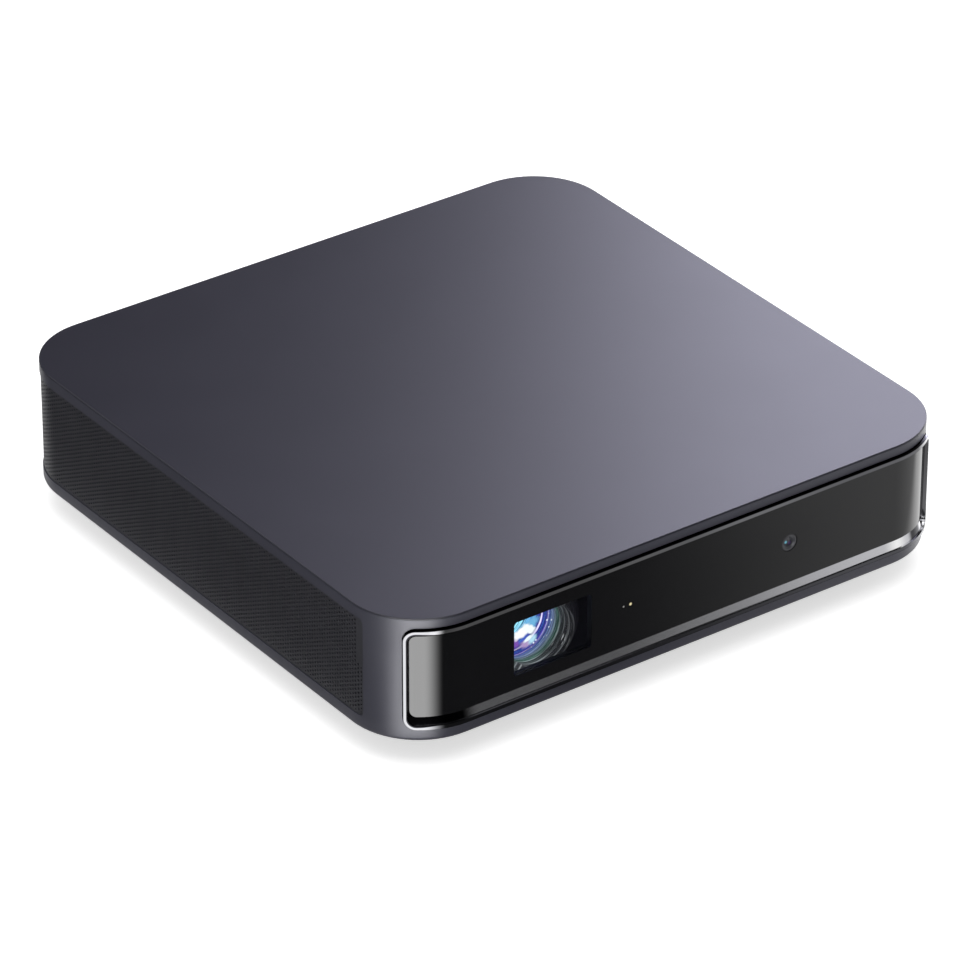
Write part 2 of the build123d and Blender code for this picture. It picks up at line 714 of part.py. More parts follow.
def gear_sketch(teeth, phase_deg):
    """Involute spur gear outline about the origin, with a tooth centred on the phase angle."""
    pitch_r = GEAR_MODULE * teeth / 2
    pressure = math.radians(PRESSURE_ANGLE)
    base_r = pitch_r * math.cos(pressure)
    root_r = pitch_r - 1.25 * GEAR_MODULE
    tip_r = pitch_r + GEAR_MODULE
    half_angle = math.pi / (2 * teeth) - BACKLASH / (2 * pitch_r) + involute(pressure)
    start_r = max(base_r, root_r)
    steps = 4
    flank = [(root_r, half_angle)] if root_r < base_r else []
    for i in range(steps + 1):
        r = start_r + (tip_r - start_r) * i / steps
        flank.append((r, half_angle - involute(math.acos(min(1.0, base_r / r)))))
    points = []
    for tooth in range(teeth):
        centre = math.radians(phase_deg) + 2 * math.pi * tooth / teeth
        for r, angle in flank:
            points.append((r * math.cos(centre - angle), r * math.sin(centre - angle)))
        for r, angle in reversed(flank):
            points.append((r * math.cos(centre + angle), r * math.sin(centre + angle)))
    return make_face(Polyline(*points, close=True))


def gear(x, z, y0, y1, teeth, phase_deg):
    """A spur gear on an axis along Y."""
    return Pos(x, y0, z) * Rot(-90, 0, 0) * extrude(gear_sketch(teeth, phase_deg), y1 - y0)


def lens_barrel():
    barrel = rod_y(lens_x, lens_z, barrel_y, engine_y - SEAT, BARREL_R)
    barrel += rod_y(lens_x, lens_z, engine_y - BARREL_FLANGE_T, engine_y - SEAT, ring_tip_r - 0.2)
    collar = gear_y + SEAT
    barrel += rod_y(lens_x, lens_z, collar, collar + COLLAR_T, COLLAR_R)
    return barrel - rod_y(lens_x, lens_z, barrel_y - 1, engine_y + 1, TUBE_R + RUN)


def gear_clip():
    y1 = gear_y - GEAR_W - SEAT
    clip = rod_y(lens_x, lens_z, y1 - COLLAR_T, y1, COLLAR_R)
    clip -= rod_y(lens_x, lens_z, y1 - COLLAR_T - 1, y1 + 1, BARREL_R + RUN)
    return clip - box(lens_x - 2, lens_x + 2, y1 - 3, y1 + 1, lens_z - COLLAR_R - 1, lens_z)


def focus_gear():
    ring = gear(lens_x, lens_z, gear_y - GEAR_W, gear_y, RING_TEETH, 0)
    return ring - rod_y(lens_x, lens_z, gear_y - GEAR_W - 1, gear_y + 1, BARREL_R + RUN)


def focus_pinion():
    body = gear(pinion_x, lens_z, gear_y - GEAR_W, gear_y, PINION_TEETH, 180 / PINION_TEETH)
    return body + rod_y(pinion_x, lens_z, gear_y - GEAR_W, motor_front() + MOTOR_SHAFT_IN, MOTOR_SHAFT_R)


def motor_front():
    """Front face of the focus motor."""
    return gear_y + 2


def focus_motor():
    body = rod_y(pinion_x, lens_z, motor_front(), engine_y - SEAT, MOTOR_R)
    return body - rod_y(pinion_x, lens_z, motor_front() - 1, motor_front() + MOTOR_SHAFT_IN + 1,
                        MOTOR_SHAFT_R + RUN)


def focus_barrel():
    bell = rod_y(lens_x, lens_z, bell_y, bell_back_y, BELL_R)
    bell += rod_y(lens_x, lens_z, bell_back_y - 1, tube_end_y, TUBE_R)
    seat_y = bell_y + LENS_SETBACK + LENS_GLASS_T + SEAT
    bell -= rod_y(lens_x, lens_z, bell_y - 1, seat_y, BELL_R - BELL_WALL)
    bell -= rod_y(lens_x, lens_z, seat_y - 1, tube_end_y + 1, TUBE_R - TUBE_WALL)
    return bell


def lens_blank(r, thick, bulge):
    """A lens with a flat back, its domed face down on the origin and its axis along Z."""
    ball_r = (r ** 2 + bulge ** 2) / (2 * bulge)
    half_sag = ball_r - math.sqrt(ball_r ** 2 - r ** 2 / 4)
    profile = ThreePointArc((0, 0), (r / 2, half_sag), (r, bulge))
    profile += Polyline((r, bulge), (r, thick), (0, thick), (0, 0))
    return revolve(Plane.XZ * make_face(profile), Axis.Z)


def lens_along_y(x, y, z, r, thick, bulge):
    """A lens whose domed face looks out of the front."""
    return Pos(x, y, z) * Rot(-90, 0, 0) * lens_blank(r, thick, bulge)


def front_glass():
    y = bell_y + LENS_SETBACK
    return lens_along_y(lens_x, y, lens_z, BELL_R - BELL_WALL - SEAT, LENS_GLASS_T, FRONT_BULGE)


def inner_glass():
    r = TUBE_R - TUBE_WALL - SEAT
    first = bell_back_y - 2
    return [lens_along_y(lens_x, first + i * INNER_PITCH, lens_z, r, INNER_GLASS_T, INNER_BULGE)
            for i in range(INNER_COUNT)]


def engine_housing():
    x0, x1, y0, y1 = engine_x0, engine_x1, engine_y, engine_y1
    w = ENGINE_WALL
    shell = box(x0, x1, y0, y1, engine_z0, engine_z1)
    shell -= box(x0 + w, x1 - w, y0 + w, y1 - w, engine_z0 + w, engine_z1 + 1)
    shell -= rod_y(lens_x, lens_z, y0 - 1, y0 + w + 1, LENS_PORT_R)
    shell -= rod_x(laser_y, lens_z, x1 - w - 1, x1 + 1, RELAY_R - 1)
    floor = engine_z0 + w - SEAT
    half = PRISM / 2
    shell += box(lens_x - half, lens_x + half, prism_y - half, prism_y + half, floor, lens_z - half - SEAT)
    for x in relay_places():
        shell += box(x, x + RELAY_T, wheel_y - 3, wheel_y + 3, floor, lens_z - RELAY_R - SEAT)
    motor_x = wheel_x - WHEEL_T - WHEEL_MOTOR_L
    post = box(x0 + w - SEAT, motor_x - SEAT, wheel_y - 5, wheel_y + 5, floor, lens_z + 5)
    return shell + post


def relay_places():
    """Left faces of the two relay lenses."""
    first = engine_x1 - ENGINE_WALL - RELAY_IN - RELAY_T
    return (first, first - RELAY_PITCH)


def engine_lid():
    z0 = engine_z1 + SEAT
    return box(engine_x0, engine_x1, engine_y, engine_y1, z0, z0 + ENGINE_LID_T)


def prism():
    return Pos(lens_x, prism_y, lens_z) * Box(PRISM, PRISM, PRISM)


def mirror_chip():
    return box(lens_x - CHIP_W / 2, lens_x + CHIP_W / 2, chip_y, chip_y + CHIP_T,
               lens_z - CHIP_H / 2, lens_z + CHIP_H / 2)


def chip_board():
    return box(lens_x - CHIP_BOARD_W / 2, lens_x + CHIP_BOARD_W / 2, chip_board_y,
               chip_board_y + CHIP_BOARD_T, engine_z0 + ENGINE_WALL + SEAT, engine_z1 - 2)


def relay_lenses():
    lens = lens_blank(RELAY_R, RELAY_T, RELAY_BULGE)
    return [Pos(x, wheel_y, lens_z) * Rot(0, 90, 0) * lens for x in relay_places()]


def phosphor_wheel():
    wheel = rod_x(wheel_y, lens_z, wheel_x, wheel_x + WHEEL_T, WHEEL_R)
    wheel += rod_x(wheel_y, lens_z, wheel_x, wheel_x + WHEEL_T + WHEEL_NOSE, WHEEL_HUB_R)
    return wheel + rod_x(wheel_y, lens_z, wheel_x - WHEEL_T - WHEEL_TAIL, wheel_x + WHEEL_T / 2, WHEEL_SHAFT_R)


def wheel_motor():
    x1 = wheel_x - WHEEL_T
    body = rod_x(wheel_y, lens_z, x1 - WHEEL_MOTOR_L, x1, WHEEL_MOTOR_R)
    return body - rod_x(wheel_y, lens_z, x1 - WHEEL_TAIL - 1, x1 + 1, WHEEL_SHAFT_R + RUN)


def laser_module():
    x1 = laser_x + LASER_W
    half = LASER_D / 2
    body = box(laser_x, x1, laser_y - half, laser_y + half, engine_z0, laser_z1)
    groove = LASER_D / 6
    for i in (-1, 0, 1):
        y = laser_y + i * 2 * groove
        body -= box(x1 - 2, x1 + 1, y - groove / 2, y + groove / 2, engine_z0 + 3, laser_z1 - 3)
    return body


def pipe_places():
    """Start height line and sink line of each heat pipe."""
    near = laser_y - PIPE_SPACING / 2
    far = laser_y + PIPE_SPACING / 2
    return ((near, sink_x0 + PIPE_IN_SINK), (far, sink_x0 + PIPE_IN_SINK + PIPE_SPACING))


def cold_plate():
    half = COLD_PLATE_D / 2
    x1 = laser_x + LASER_W
    plate = box(laser_x, x1, laser_y - half, laser_y + half, laser_z1 + SEAT, pipe_z + PIPE_R + 1)
    for y, x in pipe_places():
        plate -= rod_x(y, pipe_z, laser_x - 1, x1 + 1, PIPE_R + RUN)
    return plate


def heat_pipes():
    pipes = []
    for y, x in pipe_places():
        path = FilletPolyline((laser_x, y), (x, y), (x, blower_y0), radius=PIPE_BEND_R)
        path = Pos(0, 0, pipe_z) * path
        section = Plane(origin=(laser_x, y, pipe_z), z_dir=(1, 0, 0)) * Circle(PIPE_R)
        pipes.append(sweep(section, path=path))
    return pipes


def heat_sink():
    z0 = floor_z + FREE
    sink = box(sink_x0, side_x, blower_y0, blower_y1, z0, z0 + 1.5)
    count = int((BLOWER_SIZE - FIN_T) / FIN_PITCH) + 1
    for i in range(count):
        y = blower_y0 + i * FIN_PITCH
        sink += box(sink_x0, side_x, y, y + FIN_T, z0, pipe_z + PIPE_R + 2)
    for _, x in pipe_places():
        sink -= rod_y(x, pipe_z, blower_y0 - 1, blower_y1 + 1, PIPE_R + RUN)
    return sink


def blower_housing():
    w = BLOWER_WALL
    body = box(blower_x0, blower_x1, blower_y0, blower_y1, blower_z0, blower_z1)
    body -= rod_z(blower_x, blower_y, blower_z0 + w, blower_z1 + 1, BLOWER_SIZE / 2 - w)
    body -= box(blower_x, blower_x1 + 1, blower_y0 + w, blower_y, blower_z0 + w, blower_z1 + 1)
    body += rod_z(blower_x, blower_y, blower_z0, blower_z0 + 8, 4)
    return body - rod_z(blower_x, blower_y, blower_z0 + w, blower_z1, 1.2 + RUN)


def blower_lid():
    z0 = blower_z1 + SEAT
    lid = box(blower_x0, blower_x1, blower_y0, blower_y1, z0, z0 + BLOWER_LID_T)
    return lid - rod_z(blower_x, blower_y, z0 - 1, z0 + 3, BLOWER_MOUTH_R)


def blower_rotor():
    z0 = blower_z0 + BLOWER_WALL + 1
    z1 = blower_z1 - 1
    hub_z = z0 + 9
    rotor = rod_z(blower_x, blower_y, hub_z, hub_z + 1.2, BLOWER_R)
    rotor += rod_z(blower_x, blower_y, blower_z0 + BLOWER_WALL + 0.5, hub_z + 1, 1.2)
    for i in range(BLOWER_BLADES):
        turn = Pos(blower_x, blower_y, (z0 + z1) / 2) * Rot(0, 0, 360 * i / BLOWER_BLADES)
        rotor += turn * Pos(BLOWER_R - 2.7, 0, 0) * Rot(0, 0, 30) * Box(5, 0.6, z1 - z0)
    return rotor & rod_z(blower_x, blower_y, blower_z0, z1, BLOWER_R)


def fan_x0():
    """Outer face of the intake fan."""
    return -side_x


def fan_z():
    """Axis height of the intake fan, whose frame stands on the base."""
    return floor_z + FREE + FAN_SIZE / 2


def intake_fan_frame():
    x0 = fan_x0()
    half = FAN_SIZE / 2
    frame = box(x0, x0 + FAN_T, FAN_Y - half, FAN_Y + half, fan_z() - half, fan_z() + half)
    frame -= rod_x(FAN_Y, fan_z(), x0 - 1, x0 + FAN_T + 1, half - 1.1)
    spider = rod_x(FAN_Y, fan_z(), x0 + FAN_T - 1.5, x0 + FAN_T, FAN_HUB_R)
    for i in range(4):
        arm = Pos(x0 + FAN_T - 0.75, FAN_Y, fan_z()) * Rot(90 * i + 20, 0, 0)
        spider += arm * Pos(0, half / 2, 0) * Box(1.5, half - 1, 1.6)
    spider &= rod_x(FAN_Y, fan_z(), x0, x0 + FAN_T, half - 0.6)
    return frame + spider - rod_x(FAN_Y, fan_z(), x0, x0 + FAN_T + 1, FAN_SHAFT_R + RUN)


def intake_fan_rotor():
    x0 = fan_x0()
    x1 = x0 + FAN_T - 1.5 - FREE
    rotor = rod_x(FAN_Y, fan_z(), x0 + 0.5, x1, FAN_HUB_R)
    reach = FAN_SIZE / 2 - 1.1 - 0.5
    for i in range(FAN_BLADES):
        turn = Pos((x0 + x1) / 2, FAN_Y, fan_z()) * Rot(360 * i / FAN_BLADES, 0, 0)
        rotor += turn * Pos(0, reach / 2 + 2, 0) * Rot(0, 40, 0) * Box(7, reach, 0.9)
    rotor &= rod_x(FAN_Y, fan_z(), x0 + 0.5, x1, reach)
    return rotor + rod_x(FAN_Y, fan_z(), x1 - 1, x0 + FAN_T - 0.2, FAN_SHAFT_R)


def left_speaker_box():
    w = BOX_WALL
    body = box(-side_x, -box_x0, box_y0, box_y1, box_z0, box_z1)
    body -= box(-side_x + w, -box_x0 - w, box_y0 + w, box_y1 - w, box_z0 + w, box_z1 - w)
    body -= rod_x(driver_y, driver_z, -side_x - 1, -side_x + DRIVER_T, DRIVER_R + SEAT)
    return body - rod_x(driver_y, driver_z, -side_x - 1, -side_x + w + 1, DRIVER_R + SEAT)


def left_driver():
    """Basket, magnet and pole piece of the left speaker, in one frame."""
    x0 = -side_x + FREE
    rear = x0 + CONE_DEPTH + CONE_TRAVEL + 4
    body = rod_x(driver_y, driver_z, x0, rear, DRIVER_R)
    body -= rod_x(driver_y, driver_z, x0 - 1, rear - 1.2, DRIVER_R - 1.2)
    body += rod_x(driver_y, driver_z, x0, x0 + 1.0, DRIVER_R) - rod_x(
        driver_y, driver_z, x0 - 1, x0 + 2, CONE_R + FREE)
    body += rod_x(driver_y, driver_z, rear - 1.2, rear + MAGNET_L, MAGNET_R)
    return body - coil_room(rear)


def coil_room(rear):
    """The ring-shaped gap that the voice coil moves in."""
    room = rod_x(driver_y, driver_z, rear - 2, rear + MAGNET_L - 2, COIL_R + FREE)
    return room - rod_x(driver_y, driver_z, rear - 3, rear + MAGNET_L, COIL_R - COIL_T - FREE)


def left_cone():
    x0 = -side_x + FREE + 0.2
    depth = CONE_DEPTH
    funnel = Rot(0, 90, 0) * Cone(CONE_R, COIL_R, depth)
    cone = Pos(x0 + depth / 2, driver_y, driver_z) * funnel
    cone -= Pos(x0 + depth / 2 - CONE_T * 1.6, driver_y, driver_z) * funnel
    cone += rod_x(driver_y, driver_z, x0 + depth - 1, x0 + depth - 0.2, COIL_R)
    coil = rod_x(driver_y, driver_z, x0 + depth - 1, x0 + depth + COIL_L, COIL_R)
    coil -= rod_x(driver_y, driver_z, x0 + depth - 0.5, x0 + depth + COIL_L + 1, COIL_R - COIL_T)
    return cone + coil


def main_board():
    board = box(-board_x, board_x, board_y0, board_y1, board_z, board_top)
    for x, y in board_screws:
        board -= rod_z(x, y, board_z - 1, board_top + 1, BOARD_SCREW_R + 0.2)
    return board


def board_fixings():
    screws = []
    for x, y in board_screws:
        head_z = board_top + SEAT
        screw = rod_z(x, y, head_z, head_z + BOARD_SCREW_HEAD_T, BOARD_SCREW_HEAD_R)
        screw += rod_z(x, y, plate_z + 0.5, head_z + 0.2, BOARD_SCREW_R)
        screws.append(screw)
    return screws


def processor_shield():
    half = SHIELD_D / 2
    y = (board_y0 + board_y1) / 2 - 4
    z0 = board_top + SEAT
    can = box(-shield_x, shield_x, y - half, y + half, z0, z0 + SHIELD_H)
    return can - box(1 - shield_x, shield_x - 1, y + 1 - half, y + half - 1, z0 - 1, z0 + SHIELD_H - 0.5)


def board_parts():
    """Coils, capacitors, memory and a ribbon socket on the main board."""
    z0 = board_top + SEAT
    row_y = board_y0 + PARTS_FROM_EDGE
    parts = []
    for i in range(2):
        y = row_y + COIL_BLOCK_PITCH * i
        parts.append(box(coil_block_x, coil_block_x + COIL_BLOCK, y, y + COIL_BLOCK, z0, z0 + COIL_BLOCK_H))
    for i in range(CAP_COUNT):
        y = row_y + CAP_R + SEAT + CAP_PITCH * i
        parts.append(rod_z(cap_x, y, z0, z0 + CAP_H, CAP_R))
    for i in range(MEMORY_COUNT):
        y = row_y + MEMORY_PITCH * i
        parts.append(box(memory_x, memory_x + MEMORY_W, y, y + MEMORY_D, z0, z0 + MEMORY_H))
    half = RIBBON_W / 2 + 1
    y = board_y0 + 2
    x = ribbon_rear_x
    parts.append(box(x - half, x + half, y, y + SOCKET_D, z0, z0 + SOCKET_H))
    return parts


def rear_panel():
    mid = (rear_x0 + rear_x1) / 2
    z = (rear_z0 + rear_z1) / 2
    w = rear_x1 - rear_x0
    h = rear_z1 - rear_z0
    gap = 2 * SEAT
    panel = pill_y(mid, z, rear_front_y - SEAT, half_d - REAR_SUNK, w - gap, h - gap, REAR_R)
    panel += pill_y(mid, z, rear_flange_y, rear_front_y, w + 2 * REAR_LAP, h + 2 * REAR_LAP, REAR_R)
    y0 = rear_flange_y - 1
    y1 = half_d + 1
    for x, size in ((dc_x, DC_SIZE), (hdmi_x, HDMI_SIZE), (usb_x, USB_SIZE), (audio_x, AUDIO_SIZE)):
        half = size[0] / 2 + PORT_CLEAR
        z0 = board_top + SEAT - PORT_CLEAR
        panel -= box(x - half, x + half, y0, y1, z0, z0 + size[2] + 2 * PORT_CLEAR)
    panel -= rod_y(led_x, button_z, y0, y1, LED_R + SEAT)
    return panel - rod_y(button_x, button_z, y0, y1, BUTTON_R + BUTTON_RUN)


def port_block(x, size):
    """The body of a socket that stands on the board with its mouth at the rear."""
    z0 = board_top + SEAT
    return box(x - size[0] / 2, x + size[0] / 2, port_y - size[1], port_y, z0, z0 + size[2])


def port_z(size):
    """Middle height of a socket on the board."""
    return board_top + SEAT + size[2] / 2


def dc_jack():
    z = port_z(DC_SIZE)
    jack = port_block(dc_x, DC_SIZE) - rod_y(dc_x, z, port_y - DC_DEPTH, port_y + 1, DC_BORE_R)
    return jack + rod_y(dc_x, z, port_y - DC_DEPTH - 1, port_y - 1.5, DC_PIN_R)


def tongue_port(x, size, mouth, tongue, depth, tongue_up):
    """A socket with a flat contact tongue in a rectangular mouth."""
    z = port_z(size)
    y0 = port_y - depth
    port = port_block(x, size) - pill_y(x, z, y0, port_y + 1, mouth[0], mouth[1], 0.6)
    low = z + tongue_up - tongue[1] / 2
    return port + box(x - tongue[0] / 2, x + tongue[0] / 2, y0 - 0.5, port_y - 1, low, low + tongue[1])


def hdmi_port():
    return tongue_port(hdmi_x, HDMI_SIZE, HDMI_MOUTH, HDMI_TONGUE, HDMI_DEPTH, 0.3)


def usb_port():
    return tongue_port(usb_x, USB_SIZE, USB_MOUTH, USB_TONGUE, USB_DEPTH, 0.9)


def audio_jack():
    z = port_z(AUDIO_SIZE)
    return port_block(audio_x, AUDIO_SIZE) - rod_y(audio_x, z, port_y - AUDIO_DEPTH, port_y + 1, AUDIO_BORE_R)


def power_led():
    z0 = board_top + SEAT
    lamp = box(led_x - 1.5, led_x + 1.5, board_y1 - 5, board_y1 - 2, z0, button_z + 1.5)
    return lamp + rod_y(led_x, button_z, board_y1 - 3, half_d - REAR_SUNK - 0.1, LED_R)


def power_button():
    cap = rod_y(button_x, button_z, rear_flange_y - SEAT - 0.5, half_d - 0.1, BUTTON_R)
    return cap + rod_y(button_x, button_z, rear_flange_y - SEAT - 0.8, rear_flange_y - SEAT,
                       BUTTON_R + BUTTON_FLANGE)


def power_switch():
    half = SWITCH_W / 2
    tip_y = rear_flange_y - SEAT - 0.8 - BUTTON_TRAVEL - SEAT
    y1 = tip_y - 1.2
    body = box(button_x - half, button_x + half, y1 - SWITCH_D, y1, board_top + SEAT, button_z + half)
    return body + rod_y(button_x, button_z, y1 - 1, tip_y, 1.5)


def ribbon_cable():
    """Flat lead from the board, along the floor between laser and blower, and up to the camera."""
    half = RIBBON_W / 2
    t = RIBBON_T
    z_low = floor_z + SEAT
    z_high = board_top + SEAT + 0.5
    back = board_y0 - 2
    rear0, rear1 = ribbon_rear_x - half, ribbon_rear_x + half
    front0, front1 = ribbon_front_x - half, ribbon_front_x + half
    strip = box(rear0, rear1, back, board_y0 + 2 - SEAT, z_high, z_high + t)
    strip += box(rear0, rear1, back, back + t, z_low, z_high + t)
    strip += box(rear0, rear1, ribbon_turn_y - half, back + t, z_low, z_low + t)
    turn0, turn1 = min(rear0, front0), max(rear1, front1)
    strip += box(turn0, turn1, ribbon_turn_y - half, ribbon_turn_y + half, z_low, z_low + t)
    strip += box(front0, front1, ribbon_y - half, ribbon_turn_y + half, z_low, z_low + t)
    strip += box(front0, camera_x + half, ribbon_y - half, ribbon_y + half, z_low, z_low + t)
    up_y = panel_back_y + SEAT + CAMERA_DEPTH + SEAT
    strip += box(camera_x - half, camera_x + half, up_y, ribbon_y + half, z_low, z_low + t)
    return strip + box(camera_x - half, camera_x + half, up_y, up_y + t, z_low, eye_z)


def save(name, shape):
    """Write one node, whose solids may be a list."""
    if isinstance(shape, list):
        shape = Compound(children=[solid for item in shape for solid in item.solids()])
    export_step(shape, "parts/" + name + ".step")


os.makedirs("parts", exist_ok=True)
left_grille, right_grille = grilles()
left_box, right_box = on_both_sides(left_speaker_box())
left_basket, right_basket = on_both_sides(left_driver())
left_diaphragm, right_diaphragm = on_both_sides(left_cone())
nodes = {
    "side_frame": side_frame(),
    "top_cover": top_cover(),
    "base_plate": base_plate(),
    "base_plinth": base_plinth(),
    "rubber_feet": rubber_feet(),
    "tripod_nut": tripod_nut(),
    "casing_screws": casing_screws(),
    "plinth_screws": plinth_fixings(),
    "grille_left": left_grille,
    "grille_right": right_grille,
    "bezel_ring": bezel_ring(),
    "front_panel": front_panel(),
    "lens_window": lens_window(),
    "window_seal": window_seal(),
    "camera_module": camera_module(),
    "camera_lens": camera_lens(),
    "depth_sensor": depth_sensor(),
    "lens_barrel": lens_barrel(),
    "gear_clip": gear_clip(),
    "focus_gear": focus_gear(),
    "focus_pinion": focus_pinion(),
    "focus_motor": focus_motor(),
    "focus_barrel": focus_barrel(),
    "front_glass": front_glass(),
    "inner_glass": inner_glass(),
    "engine_housing": engine_housing(),
    "engine_lid": engine_lid(),
    "prism": prism(),
    "mirror_chip": mirror_chip(),
    "chip_board": chip_board(),
    "relay_lenses": relay_lenses(),
    "phosphor_wheel": phosphor_wheel(),
    "wheel_motor": wheel_motor(),
    "laser_module": laser_module(),
    "cold_plate": cold_plate(),
    "heat_pipes": heat_pipes(),
    "heat_sink": heat_sink(),
    "blower_housing": blower_housing(),
    "blower_lid": blower_lid(),
    "blower_rotor": blower_rotor(),
    "intake_fan_frame": intake_fan_frame(),
    "intake_fan_rotor": intake_fan_rotor(),
    "speaker_box_left": left_box,
    "speaker_box_right": right_box,
    "speaker_driver_left": left_basket,
    "speaker_driver_right": right_basket,
    "speaker_cone_left": left_diaphragm,
    "speaker_cone_right": right_diaphragm,
    "main_board": main_board(),
    "board_screws": board_fixings(),
    "processor_shield": processor_shield(),
    "board_parts": board_parts(),
    "rear_panel": rear_panel(),
    "dc_jack": dc_jack(),
    "hdmi_port": hdmi_port(),
    "usb_port": usb_port(),
    "audio_jack": audio_jack(),
    "power_button": power_button(),
    "power_parts": [power_led(), power_switch()],
    "ribbon_cable": ribbon_cable(),
}
for node, shape in nodes.items():
    save(node, shape)
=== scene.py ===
"""Looks of the flat square projector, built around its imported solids."""

import json
import logging
import math
from dataclasses import dataclass
from enum import Enum
from typing import Any, Callable, Iterable, Mapping, Optional, Sequence, Union

import bmesh
import bpy
from mathutils import Matrix, Vector

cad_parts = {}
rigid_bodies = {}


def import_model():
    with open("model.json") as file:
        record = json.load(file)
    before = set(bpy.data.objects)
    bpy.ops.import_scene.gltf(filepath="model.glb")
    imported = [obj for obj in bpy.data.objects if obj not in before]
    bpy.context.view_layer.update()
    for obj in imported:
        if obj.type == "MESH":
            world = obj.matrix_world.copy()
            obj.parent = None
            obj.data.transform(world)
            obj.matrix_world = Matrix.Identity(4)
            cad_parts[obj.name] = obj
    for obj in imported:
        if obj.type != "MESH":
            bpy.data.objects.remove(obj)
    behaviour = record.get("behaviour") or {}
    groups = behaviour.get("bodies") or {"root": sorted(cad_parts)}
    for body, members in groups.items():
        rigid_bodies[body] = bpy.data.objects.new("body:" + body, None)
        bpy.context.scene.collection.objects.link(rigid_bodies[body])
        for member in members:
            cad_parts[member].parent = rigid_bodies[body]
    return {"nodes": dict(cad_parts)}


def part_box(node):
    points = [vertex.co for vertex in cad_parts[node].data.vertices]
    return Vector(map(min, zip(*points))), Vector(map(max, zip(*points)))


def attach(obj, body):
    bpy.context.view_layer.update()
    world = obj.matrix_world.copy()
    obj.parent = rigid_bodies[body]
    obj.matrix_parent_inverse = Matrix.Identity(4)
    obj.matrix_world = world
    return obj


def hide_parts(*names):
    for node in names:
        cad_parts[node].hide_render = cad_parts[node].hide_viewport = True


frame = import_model()

LOG = logging.getLogger("projector")
MM = 0.001
CASING = "casing"
LENS_BODY = "lens_group"
CORE = 0.02

Colour = tuple[float, float, float]
Point = tuple[float, float, float]
Pair = tuple[float, float]
Operand = Union["Signal", float]


def operator(operation: str, swapped: bool = False) -> Callable[["Signal", Operand], "Signal"]:
    """Return a method that adds a Math node of a signal and another value.

    Args:
        operation: The node's operation.
        swapped: Whether the other value comes first.

    Returns:
        The method, which returns the node's result.
    """

    def apply(signal: "Signal", other: Operand) -> "Signal":
        """Add the node."""
        return signal.graph.math(operation, *((other, signal) if swapped else (signal, other)))

    return apply


class Signal:
    """One output of a node, on which Python's operators add Math nodes."""

    def __init__(self, graph: "Graph", socket: bpy.types.NodeSocket) -> None:
        """Wrap a node's output.

        Args:
            graph: The tree that the node belongs to.
            socket: The output itself.
        """
        self.graph = graph
        self.socket = socket

    def math(self, operation: str, *others: Operand) -> "Signal":
        """Return the result of a Math node whose first value is this one."""
        return self.graph.math(operation, self, *others)

    def pick(self, name: str) -> "Signal":
        """Return another output of the same node."""
        return Signal(self.graph, self.socket.node.outputs[name])

    __add__ = __radd__ = operator("ADD")
    __sub__ = operator("SUBTRACT")
    __rsub__ = operator("SUBTRACT", True)
    __mul__ = __rmul__ = operator("MULTIPLY")
    __truediv__ = operator("DIVIDE")
    __mod__ = operator("MODULO")
    __lt__ = operator("LESS_THAN")
    __gt__ = operator("GREATER_THAN")

    def clamp(self) -> "Signal":
        """Return this held between 0 and 1."""
        return self.math("MAXIMUM", 0.0).math("MINIMUM", 1.0)

    def ramp(self, low: float, high: float) -> "Signal":
        """Return a smooth step from 0 at low to 1 at high, which may be the lesser."""
        t = ((self - low) / (high - low)).clamp()
        return t * t * (3.0 - 2.0 * t)

    def band(self, middle: float, width: float) -> "Signal":
        """Return 1 at the middle value, falling smoothly to 0 half a width away."""
        return 1.0 - (self - middle).math("ABSOLUTE").ramp(0.0, width / 2)


